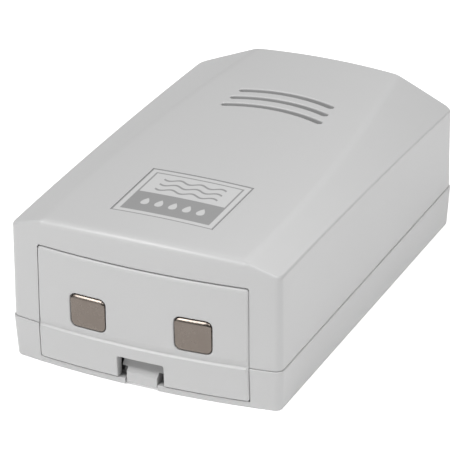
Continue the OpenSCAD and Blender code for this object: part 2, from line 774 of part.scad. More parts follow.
// One straight run of spring strip seen from above
module strip_run(a, b, z0, z1) {
  d = b - a;
  translate([a[0], a[1], z0]) rotate([0, 0, atan2(d[1], d[0])])
    translate([-spring_t / 2, -spring_t / 2, 0]) cube([norm(d) + spring_t, spring_t, z1 - z0]);
}

// Leaf contact from the board round the bay's wall to the electrode's strip
module contact_spring(s) {
  z0 = electrode_h - spring_w / 2;
  z1 = electrode_h + spring_w / 2;
  bend_y = spring_front_y + spring_t / 2;
  route = [
    [spring_foot_x, spring_foot_y], [spring_foot_x, spring_turn_y], [spring_side_x, spring_turn_y],
    [spring_side_x, bend_y], [spring_tip_x + spring_t, bend_y],
    [spring_tip_x, spring_tip_y + spring_t / 2]
  ];
  color([0.75, 0.6, 0.35]) mirror([s < 0 ? 1 : 0, 0, 0]) {
    for (i = [0:len(route) - 2]) strip_run(route[i], route[i + 1], z0, z1);
    strip_run(route[0], [spring_foot_x, board_front_y + spring_t], board_top, z1);
  }
}

module left_contact_spring() { contact_spring(-1); }
module right_contact_spring() { contact_spring(1); }

module circuit_board() {
  color([0.15, 0.4, 0.2]) difference() {
    translate([-board_half_w, board_front_y, board_h])
      cube([2 * board_half_w, board_back_y - board_front_y, board_t]);
    for (p = posts) translate([p[0], p[1], board_h - cut])
      cylinder(d = board_screw_d + 4 * screw_gap, h = board_t + 2 * cut);
    for (s = [-1, 1]) translate([s * pin_pitch / 2, sounder_y, board_h - cut])
      cylinder(d = pin_d + 2 * screw_gap, h = board_t + 2 * cut);
  }
}

// Screw standing head down at its origin, with the underside of its head at z = 0
module screw(d, l, head_d, head_h) {
  difference() {
    union() {
      translate([0, 0, -head_h / 2]) cylinder(d = d, h = l + head_h / 2);
      translate([0, 0, -head_h]) cylinder(d = head_d, h = head_h);
    }
    for (a = [0, 90]) rotate([0, 0, a]) translate([-head_d / 3, -drive_w / 2, -head_h - cut])
      cube([2 * head_d / 3, drive_w, drive_depth + cut]);
  }
}

module board_screws() {
  color([0.7, 0.7, 0.72]) for (p = posts) translate([p[0], p[1], board_top]) mirror([0, 0, 1])
    screw(board_screw_d, board_screw_l, board_head_d, board_head_h);
}

module case_screws() {
  color([0.7, 0.7, 0.72]) for (b = bosses) translate([b[0], b[1], case_head_z])
    screw(case_screw_d, case_screw_l, case_head_d, case_head_h);
}

module sounder_case() {
  color([0.1, 0.1, 0.1]) translate([0, sounder_y, board_top]) difference() {
    cylinder(d = sounder_d, h = sounder_h);
    translate([0, 0, sounder_wall])
      cylinder(r = sounder_r - 2 * sounder_wall, h = sounder_h - 2 * sounder_wall);
    translate([0, 0, disc_z - board_top]) cylinder(r = sounder_r - sounder_wall, h = disc_t);
    cylinder(d = sounder_mouth_d, h = sounder_h + cut);
    for (s = [-1, 1]) translate([s * pin_pitch / 2, 0, -cut])
      cylinder(d = pin_d + 2 * screw_gap, h = 2 * sounder_wall + cut);
  }
}

module sounder_disc() {
  color([0.8, 0.65, 0.3]) translate([0, sounder_y, disc_z])
    cylinder(r = sounder_r - sounder_wall, h = disc_t);
}

module sounder_pins() {
  color([0.8, 0.8, 0.8]) for (s = [-1, 1]) translate([s * pin_pitch / 2, sounder_y, board_h - pin_tail])
    cylinder(d = pin_d, h = pin_tail + board_t + 2 * sounder_wall);
}

module radio_board() {
  color([0.1, 0.3, 0.5]) translate([radio_x - radio_w / 2, radio_y - radio_l / 2, board_top])
    cube([radio_w, radio_l, radio_t]);
}

module radio_shield() {
  shield_x = radio_x + radio_w / 2 - shield_w - board_gap;
  inside = [shield_w - 2 * sheet_t, shield_l - 2 * sheet_t, shield_h - sheet_t + cut];
  color([0.8, 0.8, 0.82]) translate([shield_x, radio_y - shield_l / 2, board_top + radio_t]) difference() {
    cube([shield_w, shield_l, shield_h]);
    translate([sheet_t, sheet_t, -cut]) cube(inside);
  }
}

module antenna_wire() { color([0.75, 0.45, 0.25]) wire(antenna_route, antenna_d); }

module controller_chip() {
  step = chip_l / chip_leads;
  color([0.12, 0.12, 0.13]) translate([chip_x, chip_y, board_top]) {
    translate([-chip_w / 2, -chip_l / 2, chip_lead_t]) cube([chip_w, chip_l, chip_h - chip_lead_t]);
    for (s = [0, 1], i = [0:chip_leads - 1]) mirror([s, 0, 0])
      translate([chip_w / 2 - chip_lead_t, (i + 0.5) * step - chip_l / 2 - chip_lead_t / 2, 0])
        cube([4 * chip_lead_t, chip_lead_t, 2 * chip_lead_t]);
  }
}

module capacitors() {
  color([0.15, 0.15, 0.2]) for (c = caps) translate([c[0], c[1], board_top]) cylinder(d = cap_d, h = cap_h);
}

module battery() {
  color([0.2, 0.2, 0.22]) translate([cell_start_x, cell_y, cell_z]) rotate([90, 0, 90])
    linear_extrude(cell_l) polygon(round_rect(cell_t, cell_h, cell_r));
}

// Plug terminal above and socket terminal below, on the end of the battery
module battery_terminals() {
  color([0.8, 0.8, 0.8]) translate([terminal_x, cell_y, cell_z]) rotate([0, 90, 0]) {
    translate([-terminal_pitch / 2, 0, 0]) cylinder(d = plug_d, h = terminal_h);
    translate([terminal_pitch / 2, 0, 0]) difference() {
      cylinder(d = socket_d, h = terminal_h);
      translate([0, 0, snap_wall / 2]) cylinder(d = socket_d - 2 * snap_wall, h = terminal_h);
    }
  }
}

// Soft cap that presses on to the terminals, with a pocket for each
module battery_snap() {
  color([0.08, 0.08, 0.08]) translate([snap_x, cell_y, cell_z]) rotate([0, 90, 0]) difference() {
    linear_extrude(snap_t) polygon(round_rect(snap_l, snap_w, snap_w / 4));
    for (s = [-1, 1]) translate([s * terminal_pitch / 2, 0, -cut])
      cylinder(d = socket_d + 4 * snap_gap, h = pocket_depth + bay_gap + cut);
  }
}

// Metal ring round the plug terminal and stud in the socket terminal
module snap_contacts() {
  h = terminal_h - snap_wall;
  z = snap_x - terminal_x + pocket_depth + bay_gap - h;
  color([0.85, 0.8, 0.6]) translate([terminal_x, cell_y, cell_z]) rotate([0, 90, 0]) translate([0, 0, z]) {
    translate([-terminal_pitch / 2, 0, 0]) difference() {
      cylinder(d = socket_d + 2 * snap_gap, h = h);
      translate([0, 0, -cut]) cylinder(d = plug_d + 2 * snap_gap, h = h + 2 * cut);
    }
    translate([terminal_pitch / 2, 0, 0]) cylinder(d = socket_d - 2 * snap_wall - 2 * snap_gap, h = h);
  }
}

module red_lead() { color([0.75, 0.1, 0.1]) wire(lead_route(1), lead_d); }
module black_lead() { color([0.08, 0.08, 0.08]) wire(lead_route(-1), lead_d); }

// Block of the crowned top between two depths, in the label's outline
module label_block(w, l, depth0, depth1) {
  intersection() {
    translate([-w / 2, label_y - l / 2, top_back_h - 2 * wall]) cube([w, l, top_front_h]);
    difference() {
      under_crown(depth0);
      under_crown(depth1);
    }
  }
}

module label_plate() {
  color([0.85, 0.85, 0.84]) label_block(label_w, label_l, label_sink, label_sink + label_t);
}

top_cover();
base();
battery_door();
latch_tongue();
left_electrode();
right_electrode();
left_contact_spring();
right_contact_spring();
circuit_board();
board_screws();
case_screws();
sounder_case();
sounder_disc();
sounder_pins();
radio_board();
radio_shield();
antenna_wire();
controller_chip();
capacitors();
battery();
battery_terminals();
battery_snap();
snap_contacts();
red_lead();
black_lead();
label_plate();
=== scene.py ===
# %% [markdown]
# A water leak sensor: a low plastic case with a crowned top, curved sound slots and a battery door
# that carries two metal electrodes. The construction comes in as a fixed frame, and this lesson
# dresses it. Every length below is written in millimetres and becomes metres when a mesh is made.

# %% Load the frame
import json
import math

import bmesh
import bpy
from mathutils import Matrix, Vector


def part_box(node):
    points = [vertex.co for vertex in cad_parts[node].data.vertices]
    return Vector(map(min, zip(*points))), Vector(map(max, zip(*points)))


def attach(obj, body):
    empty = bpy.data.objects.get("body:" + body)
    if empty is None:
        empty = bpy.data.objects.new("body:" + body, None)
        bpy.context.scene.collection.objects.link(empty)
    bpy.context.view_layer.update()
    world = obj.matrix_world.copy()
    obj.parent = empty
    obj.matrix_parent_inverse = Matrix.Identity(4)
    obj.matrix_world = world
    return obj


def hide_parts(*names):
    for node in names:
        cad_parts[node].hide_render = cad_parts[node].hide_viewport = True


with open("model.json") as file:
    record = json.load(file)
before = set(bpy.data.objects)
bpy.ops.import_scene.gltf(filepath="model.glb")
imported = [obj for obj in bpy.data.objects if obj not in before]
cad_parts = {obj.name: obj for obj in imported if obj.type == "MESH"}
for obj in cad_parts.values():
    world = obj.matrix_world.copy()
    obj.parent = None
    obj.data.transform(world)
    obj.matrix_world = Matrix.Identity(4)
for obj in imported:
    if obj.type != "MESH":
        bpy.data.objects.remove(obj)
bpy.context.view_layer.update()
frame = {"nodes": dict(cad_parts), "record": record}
MM = 0.001
scene = bpy.context.scene


def limits(node):
    """Lowest and highest corner of a node, in millimetres."""
    low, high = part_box(node)
    return low / MM, high / MM


# %% [markdown]
# The case is drawn from few sizes. Those that the frame can tell are read from the boxes of its
# nodes. The rest are the maker's own numbers: how far the ends bow, how the chamfers lie, how thick
# the walls are. Reading what can be read keeps the skin and the construction together.

# %% Sizes of the case
_, base_high = limits("base")
cover_low, cover_high = limits("top_cover")
half_w = base_high.x
half_l = base_high.y
split_h = cover_low.z
cover_half = cover_high.x
shell_step = half_w - cover_half
front_y = -half_l
wall = 2.2
floor_t = 2.0
base_draft = 0.6
front_bow = 3.0
back_bow = 1.8
corner_r = 2.0
inner_corner_r = 0.8
print(f"case {2 * half_w:.1f} x {2 * half_l:.1f} x {cover_high.z:.1f} mm, seam at {split_h:.1f} mm")

# %% [markdown]
# The front and back faces are shallow arcs, so a point on them is found from a circle. An inset
# moves the arc into the case, which gives the inside of a wall from the same formula. The upright
# corners are small arcs that touch both the bowed end and the straight side.

# %% Plan of the case
bow_steps = 14
side_steps = 8
corner_steps = 6


def arc_radius(bow):
    """Radius of an arc across the case that bulges by bow."""
    return (half_w**2 + bow**2) / (2 * bow)


front_r = arc_radius(front_bow)
back_r = arc_radius(back_bow)
front_cy = front_y + front_r
back_cy = half_l - back_r


def face_y(x, inset=0.0):
    """Front face at x, moved into the case by an inset."""
    return front_cy - math.sqrt((front_r - inset) ** 2 - x * x)


def rear_y(x, inset=0.0):
    """Back face at x, moved into the case by an inset."""
    return back_cy + math.sqrt((back_r - inset) ** 2 - x * x)


def round_corner(inset, radius, at_back):
    """Points of the corner at +x, from the bowed end to the side."""
    x = half_w - inset - radius
    y = rear_y(x, inset + radius) if at_back else face_y(x, inset + radius)
    start = math.atan2(y - (back_cy if at_back else front_cy), x)
    turn = [start * (1 - i / corner_steps) for i in range(corner_steps + 1)]
    return [(x + radius * math.cos(a), y + radius * math.sin(a)) for a in turn]


def plan(inset, radius):
    """Outline of the case set in by an inset: front, right side, back and left side."""
    front = round_corner(inset, radius, False)
    back = round_corner(inset, radius, True)
    shares = [i / side_steps for i in range(1, side_steps)]
    y0, y1 = front[-1][1], back[-1][1]
    side = [(half_w - inset, y0 + (y1 - y0) * share) for share in shares]
    right = front + side + back[::-1]
    spread = [2 * i / bow_steps - 1 for i in range(1, bow_steps)]
    bow_front = [(x, face_y(x, inset)) for x in [front[0][0] * s for s in spread]]
    bow_back = [(x, rear_y(x, inset)) for x in [-back[0][0] * s for s in spread]]
    return bow_front + right + bow_back + [(-x, y) for x, y in reversed(right)]


print(f"front corners lie {face_y(half_w) - front_y:.2f} mm behind the bulge")

# %% [markdown]
# The top is crowned: it is part of a very wide cylinder that dips a little towards the back. Each
# side has a chamfer that is part of a still wider cylinder lying aslant, which is why the chamfers
# grow wider towards the back. The height over any point is the lowest of the three.

# %% Crown and chamfers
top_front_h = 39.3
top_back_h = 38.4
crown_r = 300.0
chamfer_mid_h = 34.2
chamfer_slope = 20.9
chamfer_fall = 1.92
chamfer_turn = 39.6
chamfer_bow_r = 1044.0

top_fall = math.atan((top_front_h - top_back_h) / (2 * half_l))
crown_axis_h = (top_front_h + top_back_h) / 2 - crown_r
chamfer_lie = (
    Matrix.Translation((cover_half, 0, chamfer_mid_h))
    @ Matrix.Rotation(math.radians(-chamfer_fall), 4, "X")
    @ Matrix.Rotation(math.radians(chamfer_slope), 4, "Y")
    @ Matrix.Rotation(math.radians(-chamfer_turn), 4, "Z")
).inverted()
chamfer_up = chamfer_lie.to_3x3() @ Vector((0, 0, 1))


def crown_z(x, y, inset=0.0):
    rise = math.sqrt((crown_r - inset) ** 2 - x * x)
    return crown_axis_h + (rise - y * math.sin(top_fall)) / math.cos(top_fall)


def chamfer_z(x, y, inset=0.0):
    """Height of the chamfer on the side of x: the upper crossing of a plumb line with its cylinder."""
    foot = chamfer_lie @ Vector((abs(x), y, 0))
    foot.z += chamfer_bow_r
    a = chamfer_up.y**2 + chamfer_up.z**2
    b = foot.y * chamfer_up.y + foot.z * chamfer_up.z
    c = foot.y**2 + foot.z**2 - (chamfer_bow_r - inset) ** 2
    return (-b + math.sqrt(b * b - a * c)) / a


def top_z(x, y, inset=0.0):
    return min(crown_z(x, y, inset), chamfer_z(x, y, inset))


def crown_half(y, inset=0.0):
    """Half width of the crown: where it meets the chamfer, found by halving."""
    inner, outer = 0.0, cover_half
    for _ in range(40):
        x = (inner + outer) / 2
        if crown_z(x, y, inset) < chamfer_z(x, y, inset):
            inner = x
        else:
            outer = x
    return inner


print(f"crown half width {crown_half(front_y):.1f} mm in front, {crown_half(half_l):.1f} mm at the back")

# %% [markdown]
# Shader maths reads best as ordinary arithmetic. A small class wraps a socket, and each operator adds
# the Math node that does it, so that `1 - mask` or `0.4 + 0.1 * grain` can be written down directly.


# %% Sockets that can be calculated with
class Value:
    def __init__(self, finish, socket):
        self.finish = finish
        self.socket = socket

    def math(self, operation, *others):
        return self.finish.node("Math", {"operation": operation}, dict(enumerate([self, *others])))

    def __add__(self, other):
        return self.math("ADD", other)

    def __mul__(self, other):
        return self.math("MULTIPLY", other)

    def __sub__(self, other):
        return self.math("SUBTRACT", other)

    def __rsub__(self, other):
        return self.math("MULTIPLY", -1.0) + other

    __radd__ = __add__
    __rmul__ = __mul__

    def above(self, edge):
        return self.math("GREATER_THAN", edge)

    def below(self, edge):
        return self.math("LESS_THAN", edge)

    def within(self, half):
        return self.math("ABSOLUTE").below(half)

    def repeat(self, step):
        """The same from minus half a step to half a step, over and over."""
        return (self + step / 2).math("FLOORED_MODULO", step) - step / 2


class Finish:
    """A material and its node tree. Every node comes from node()."""

    def __init__(self, name, **constants):
        self.material = bpy.data.materials.new(name)
        self.material.use_nodes = True
        self.tree = self.material.node_tree
        self.shader = self.tree.nodes["Principled BSDF"]
        self.set(**constants)

    def plug(self, socket, value):
        if isinstance(value, Value):
            self.tree.links.new(value.socket, socket)
        else:
            socket.default_value = value

    def set(self, **sockets):
        for name, value in sockets.items():
            self.plug(self.shader.inputs[name.replace("_", " ")], value)

    def node(self, kind, settings=None, sockets=None, out=0):
        made = self.tree.nodes.new("ShaderNode" + kind)
        for name, value in (settings or {}).items():
            setattr(made, name, value)
        for name, value in (sockets or {}).items():
            self.plug(made.inputs[name], value)
        return Value(self, made.outputs[out])

    def place(self):
        """Position on the piece, in metres."""
        return self.node("TexCoord", out="Object")

    def axes(self, middle=(0, 0, 0)):
        """Position from a point, as three values in millimetres."""
        split = self.node("SeparateXYZ", sockets={0: self.place()}).socket.node
        return [Value(self, split.outputs[i]) * (1 / MM) - middle[i] for i in range(3)]

    def noise(self, size, detail=2.0):
        """Noise between 0 and 1 whose lumps are about size millimetres across."""
        sockets = {"Vector": self.place(), "Scale": 1 / (size * MM), "Detail": detail}
        return self.node("TexNoise", {}, sockets)

    def mix(self, factor, first, second):
        """Colour between two colours."""
        return self.node("Mix", {"data_type": "RGBA"}, {0: factor, 6: first, 7: second}, out=2)

    def bump(self, height, depth, strength=1.0):
        """Relief of depth millimetres."""
        sockets = {"Height": height, "Distance": depth * MM, "Strength": strength}
        self.set(Normal=self.node("Bump", {}, sockets))


def grey(level):
    return (level, level, level, 1.0)


print("shader class ready")

# %% [markdown]
# The case is one pale grey plastic with a fine spark-eroded texture: matt at a distance, with tiny
# pits close up. Noise at three scales does it: pits in the relief, a slow drift of the colour such
# as any moulding shows, and a slight change of gloss.

# %% Case plastic
case_grey = 0.46
pit_size = 0.22
pit_depth = 0.008


def moulded_plastic(name, level):
    finish = Finish(name, IOR=1.5)
    drift = finish.noise(22, 3)
    pits = finish.noise(pit_size, 2)
    tone = finish.mix(drift, grey(level * 0.985), grey(level * 1.015))
    specks = finish.noise(0.5, 1).below(0.3)
    finish.set(Base_Color=finish.mix(specks * 0.3, tone, grey(level * 0.95)))
    finish.set(Roughness=0.32 + 0.12 * pits)
    finish.bump(pits, pit_depth, 0.5)
    return finish.material


case_plastic = moulded_plastic("case_plastic", case_grey)
print("plastic:", case_plastic.name, len(case_plastic.node_tree.nodes), "nodes")

# %% [markdown]
# A moulded shell is mostly flat walls that meet in small roundings. The usual way in Blender is a
# coarse cage whose edges carry a bevel weight, and one Bevel modifier that rounds each edge by its
# own radius. The cage below collects points, faces and radii, and builds the object at the end.

# %% Cages with rounded edges
widest_round = 2.0
round_steps = 5


class Cage:
    def __init__(self):
        self.points = []
        self.faces = []
        self.rounds = {}

    def add(self, x, y, z):
        self.points.append((x * MM, y * MM, z * MM))
        return len(self.points) - 1

    def strip(self, first, second, closed=False):
        """Quads between two rows of points."""
        count = len(first)
        for i in range(count if closed else count - 1):
            k = (i + 1) % count
            self.faces.append((first[i], first[k], second[k], second[i]))

    def loft(self, rows, ring=False):
        """Skin through closed rows of points. The first and last row are filled, or joined to a ring."""
        rows = [[self.add(*point) for point in row] for row in rows]
        for first, second in zip(rows, rows[1:]):
            self.strip(first, second, closed=True)
        if ring:
            self.strip(rows[-1], rows[0], closed=True)
        else:
            self.faces += [tuple(rows[0]), tuple(rows[-1])]
        return rows

    def round(self, row, radius, closed=False):
        """Give the edges along a row of points a radius."""
        ends = row[1:] + row[:1] if closed else row[1:]
        for a, b in zip(row, ends):
            self.rounds[frozenset((a, b))] = radius

    def block(self, low, high, radius):
        """A box with all its edges rounded."""
        (x0, y0, z0), (x1, y1, z1) = low, high
        rows = self.loft([[(x, y0, z0), (x, y1, z0), (x, y1, z1), (x, y0, z1)] for x in (x0, x1)])
        for row in (*rows, *zip(*rows)):
            self.round(list(row), radius, closed=True)
        return self

    def build(self, name):
        mesh = bpy.data.meshes.new(name)
        mesh.from_pydata(self.points, [], self.faces)
        work = bmesh.new()
        work.from_mesh(mesh)
        bmesh.ops.recalc_face_normals(work, faces=work.faces)
        work.to_mesh(mesh)
        work.free()
        weights = mesh.attributes.new("bevel_weight_edge", "FLOAT", "EDGE")
        for edge in mesh.edges:
            radius = self.rounds.get(frozenset(edge.vertices), 0.0)
            weights.data[edge.index].value = radius / widest_round
        piece = bpy.data.objects.new(name, mesh)
        scene.collection.objects.link(piece)
        if self.rounds:
            bevel = piece.modifiers.new("round", "BEVEL")
            bevel.limit_method = "WEIGHT"
            bevel.width = widest_round * MM
            bevel.segments = round_steps
            bevel.use_clamp_overlap = False
        return piece


print(f"roundings up to {widest_round} mm in {round_steps} steps")

# %% [markdown]
# Openings are cut, and ribs and bosses are added, with Boolean modifiers. A cutter is lofted through
# a few copies of one outline at growing depth. The first copies spread a little, so that the mouth of
# each opening comes out with a rounded lip instead of a knife edge. Cutters start well outside the
# surface and pass over its far side. The results are kept as plain meshes, which makes every later
# step simple.

# %% Outlines and cutting tools
outside = 4.0
over = 1.0


def box_outline(x0, x1, y0, y1, radius, spacing=3.0, steps=5):
    """Outline of a rectangle with round corners, as a function of its spread."""
    centres = [(x1 - radius, y1 - radius), (x0 + radius, y1 - radius)]
    centres += [(x0 + radius, y0 + radius), (x1 - radius, y0 + radius)]

    def outline(spread):
        r = radius + spread
        points = []
        for quarter, (cx, cy) in enumerate(centres):
            turn = [math.pi / 2 * (quarter + i / steps) for i in range(steps + 1)]
            points += [(cx + r * math.cos(a), cy + r * math.sin(a)) for a in turn]
            nx, ny = centres[(quarter + 1) % 4]
            runs = max(1, round(math.hypot(nx - cx, ny - cy) / spacing))
            x, y = points[-1]
            points += [(x + (nx - cx) * k / runs, y + (ny - cy) * k / runs) for k in range(1, runs)]
        return points

    return outline


def round_outline(x, y, radius, steps=32):
    turn = [2 * math.pi * i / steps for i in range(steps)]
    return lambda spread: [
        (x + (radius + spread) * math.cos(a), y + (radius + spread) * math.sin(a)) for a in turn
    ]


def lip(spread, depth, steps=4):
    """Depth and spread of a cutter's copies: outside, round the lip, and down to depth."""
    levels = [(-outside, spread)]
    for i in range(steps + 1):
        angle = math.pi / 2 * i / steps
        levels.append((spread * (1 - math.cos(angle)), spread * (1 - math.sin(angle))))
    return levels + [(depth, 0.0)]


def tool(outline, levels, put):
    """Closed loft of outline(spread) at each level; put(u, v, depth) gives a point in the case."""
    cage = Cage()
    cage.loft([[put(u, v, depth) for u, v in outline(spread)] for depth, spread in levels])
    return cage.build("tool")


def bake(piece):
    """Replace a piece's mesh by what its modifiers make of it."""
    graph = bpy.context.evaluated_depsgraph_get()
    mesh = bpy.data.meshes.new_from_object(piece.evaluated_get(graph))
    piece.modifiers.clear()
    piece.data = mesh
    mesh.name = piece.name


def join(pieces):
    """One object with the meshes of all the pieces."""
    work = bmesh.new()
    for piece in pieces:
        bake(piece)
        work.from_mesh(piece.data)
    first, *others = pieces
    work.to_mesh(first.data)
    work.free()
    for piece in others:
        bpy.data.objects.remove(piece)
    return first


def combine(piece, operation, tools):
    """Cut tools out of a piece, add them to it, or keep only what lies inside them."""
    boolean = piece.modifiers.new(operation, "BOOLEAN")
    boolean.operation = operation
    boolean.solver = "EXACT"
    boolean.use_self = len(tools) > 1
    boolean.object = join(tools)
    tools_made = boolean.object
    bake(piece)
    bpy.data.objects.remove(tools_made)


def dress(piece, material, body, slot, *nodes):
    """Smooth the shading, paint the piece and fix it to a body in place of its nodes."""
    bake(piece)
    mesh = piece.data
    mesh.materials.clear()
    mesh.materials.append(material)
    mesh.polygons.foreach_set("use_smooth", [True] * len(mesh.polygons))
    mesh.set_sharp_from_angle(angle=math.radians(38))
    normals = piece.modifiers.new("normals", "WEIGHTED_NORMAL")
    normals.keep_sharp = True
    normals.weight = 80
    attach(piece, body)
    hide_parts(*nodes)
    print(f"{piece.name}: {len(mesh.vertices)} points, {len(mesh.polygons)} faces")


print("cutting tools ready")

# %% [markdown]
# The cover is the upper half of the moulded case. It could be cut from a block, but then its edges
# would be hard to round. Instead its cage is a grid over the top: stations from front to back, and
# columns that follow the edges where the chamfers start. Each station is bowed like the nearer end.

# %% Grid of the cover
seam_gap = 0.05
crown_columns = 14
chamfer_shares = [1.0, 0.62, 0.25]
stations = [0, 0.035, 0.1, 0.2, 0.3, 0.4, 0.5, 0.6, 0.7, 0.8, 0.9, 0.965, 1]
columns = [(-1, share) for share in chamfer_shares]
columns += [(0, 2 * i / crown_columns - 1) for i in range(crown_columns + 1)]
columns += [(1, share) for share in reversed(chamfer_shares)]
crown_edges = [len(chamfer_shares), len(chamfer_shares) + crown_columns]


def cover_point(station, side, share, inset):
    """Point of the top: a share of the crown's half width, or of the chamfer on one side."""
    y = front_y + 2 * half_l * station
    for _ in range(4):
        edge = crown_half(y, inset)
        x = side * (edge + share * (cover_half - inset - edge)) if side else share * edge
        depth = shell_step + inset
        y = (1 - station) * face_y(x, depth) + station * rear_y(x, depth)
    return x, y, top_z(x, y, inset)


def cover_corner(cage, inset, radius, side, at_back):
    points = [(side * x, y) for x, y in round_corner(shell_step + inset, radius, at_back)]
    return [cage.add(x, y, top_z(x, y, inset)) for x, y in points]


def cover_skin(cage, inset, radius):
    """One skin of the cover: its rows over the top, the loop round its rim and the loop of its foot."""
    rows = []
    for station in stations:
        picked = columns[1:-1] if station in (0, 1) else columns
        rows.append([cage.add(*cover_point(station, side, share, inset)) for side, share in picked])
    front, *middle, back = rows
    for first, second in zip(middle, middle[1:]):
        cage.strip(first, second)
    cage.strip(front, middle[0][1:-1])
    cage.strip(middle[-1][1:-1], back)
    bends = {}
    for at_back, row, inner in ((False, front, middle[0]), (True, back, middle[-1])):
        for side, end, beside in ((-1, 0, 1), (1, -1, -2)):
            bend = cover_corner(cage, inset, radius, side, at_back)
            fan = [row[end], *bend, inner[end]]
            cage.faces += [(inner[beside], a, b) for a, b in zip(fan, fan[1:])]
            bends[at_back, side] = bend
    rim = bends[False, -1][::-1] + front + bends[False, 1] + [row[-1] for row in middle]
    rim += bends[True, 1][::-1] + back[::-1] + bends[True, -1] + [row[0] for row in reversed(middle)]
    foot = []
    for i in rim:
        x, y, _ = cage.points[i]
        foot.append(cage.add(x / MM, y / MM, split_h + seam_gap))
    cage.strip(rim, foot, closed=True)
    return rows, rim, foot


print("cover grid:", len(stations), "stations,", len(columns), "columns")

# %% [markdown]
# The grid makes the outside, and the same grid set in by the wall's thickness makes the inside. The
# two are joined along the seam. The edge round the top isn't even on the real case: it is soft along
# the front of the crown, firmer along the chamfers and almost sharp at the sides. So each edge of the
# cage gets the radius that belongs to its place.

# %% Top cover
front_round = 2.0
chamfer_round = 1.1
side_round = 0.35
crown_round = 1.2
seam_round = 0.25
blend_share = 0.4
cover_cage = Cage()
outer_rows, outer_rim, outer_foot = cover_skin(cover_cage, 0.0, corner_r)
_, _, inner_foot = cover_skin(cover_cage, wall, inner_corner_r)
cover_cage.strip(outer_foot, inner_foot, closed=True)
corner_x, corner_y = round_corner(shell_step, corner_r, False)[0]
crown_x = crown_half(front_y)


def rim_round(x, y):
    """Rounding of the rim: wide along the crown, narrower along the chamfers, small at the sides."""
    out = min(max((abs(x) - crown_x) / (corner_x - crown_x) / blend_share, 0.0), 1.0)
    front = front_round + (chamfer_round - front_round) * out
    share = min(max((y - corner_y) / corner_r, 0.0), 1.0)
    return front + (side_round - front) * share


for a, b in zip(outer_rim, outer_rim[1:] + outer_rim[:1]):
    mid_x, mid_y = (sum(cover_cage.points[end][axis] for end in (a, b)) / (2 * MM) for axis in (0, 1))
    cover_cage.round([a, b], rim_round(mid_x, mid_y))
cover_cage.round(outer_foot, seam_round, closed=True)
for column in crown_edges:
    middle = [row[column] for row in outer_rows[1:-1]]
    cover_cage.round([outer_rows[0][column - 1], *middle, outer_rows[-1][column - 1]], crown_round)
cover = cover_cage.build("cover_shell")
bake(cover)
print("cover cage:", len(cover_cage.points), "points")

# %% [markdown]
# Inside the cover hang the ledges that stop the door, the tube that leads the sounder's tone to the
# slots and four screw bosses. Ledges follow the bowed front, so they are lofted across it. Boolean
# modifiers dislike two faces in one plane, so blocks that overlap are tucked in by a tenth of a
# millimetre.

# %% Ledges, sound tube and bosses
door_half = 27.15
door_gap = 0.12
door_top_gap = 0.03
door_t = 2.2
stop_gap = 0.3
ledge_w = 1.1
ledge_t = 1.5
tuck = 0.1
doorway_half = door_half + door_gap
door_in = shell_step + door_t
ledge_in = door_in + stop_gap
ledge_out = doorway_half + ledge_w + ledge_t
door_top_h = 31.45
doorway_top_h = door_top_h + door_top_gap
tube_r = 16.5
tube_wall = 1.2
tube_foot_h = 16.1
boss_r = 3.3
screw_head_r = 2.7
disc_low, disc_high = limits("sounder_disc")
sounder_y = (disc_low.y + disc_high.y) / 2


def four_places(node, head_r):
    """Axes of four screws, from the box of their node and the radius of their heads."""
    low, high = limits(node)
    ys = (low.y + head_r, high.y - head_r)
    return [(side * (high.x - head_r), y) for side in (1, -1) for y in ys]


def front_block(x0, x1, inset0, inset1, z0, z1, steps=4):
    """Block that follows the bowed front between two insets."""
    section = [(inset0, z0), (inset0, z1), (inset1, z1), (inset1, z0)]
    xs = [x0 + (x1 - x0) * i / steps for i in range(steps + 1)]
    cage = Cage()
    cage.loft([[(x, face_y(x, inset), z) for inset, z in section] for x in xs])
    return cage.build("block")


def ledges(z0, z1):
    """Stops behind both sides of the door, and the webs that carry them."""
    made = []
    for side in (-1, 1):
        x0, x1 = side * (door_half - ledge_w), side * ledge_out
        made.append(front_block(x0, x1, ledge_in, ledge_in + ledge_t, z0, z1))
        x0, x1 = side * (doorway_half + door_gap), side * (ledge_out - tuck)
        made.append(front_block(x0, x1, wall / 2, ledge_in + ledge_t - tuck, z0, z1))
    return made


def column_up(outline, z0):
    """Solid that stands on z0 and ends inside the cover's roof."""
    points = outline(0.0)
    cage = Cage()
    cage.loft([[(x, y, z0) for x, y in points], [(x, y, top_z(x, y, wall / 2)) for x, y in points]])
    return cage.build("column")


def tube(x, y, radius, thickness, z0):
    outer = round_outline(x, y, radius, 48)(0.0)
    inner = round_outline(x, y, radius - thickness, 48)(0.0)
    low = [[(u, v, z0) for u, v in ring] for ring in (outer, inner)]
    high = [[(u, v, top_z(u, v, wall / 2)) for u, v in ring] for ring in (outer, inner)]
    cage = Cage()
    cage.loft([low[0], high[0], high[1], low[1]], ring=True)
    return cage.build("tube")


bosses = four_places("case_screws", screw_head_r)
inside = ledges(split_h + seam_gap, doorway_top_h)
inside += [column_up(round_outline(x, y, boss_r), split_h + seam_gap) for x, y in bosses]
inside.append(tube(0, sounder_y, tube_r, tube_wall, tube_foot_h))
combine(cover, "UNION", inside)
print("cover with", len(inside), "ledges, bosses and tubes")

# %% [markdown]
# Three things are cut into the cover: the doorway at the front, the curved slots over the sounder
# and the shallow bed of the label. A mould leaves them open, and a Boolean does the same here. The
# doorway's tool follows the bowed front and bevels the top edge, so that the door can tilt past it.
# Slot tools follow the crowned top, which keeps the depth of their lips even.

# %% Doorway, sound slots and label bed
doorway_r = 0.75
doorway_bevel = 0.34
doorway_foot_h = split_h - 3.0
slot_lip = 0.4
slot_r = 39.0
slot_w = 1.7
slot_pitch = 4.4
slot_half = 13.5
slot_shorter = 0.4
slot_count = 3
label_low, label_high = limits("label_plate")
label_gap = 0.12
label_sink = 0.05
label_t = 0.3


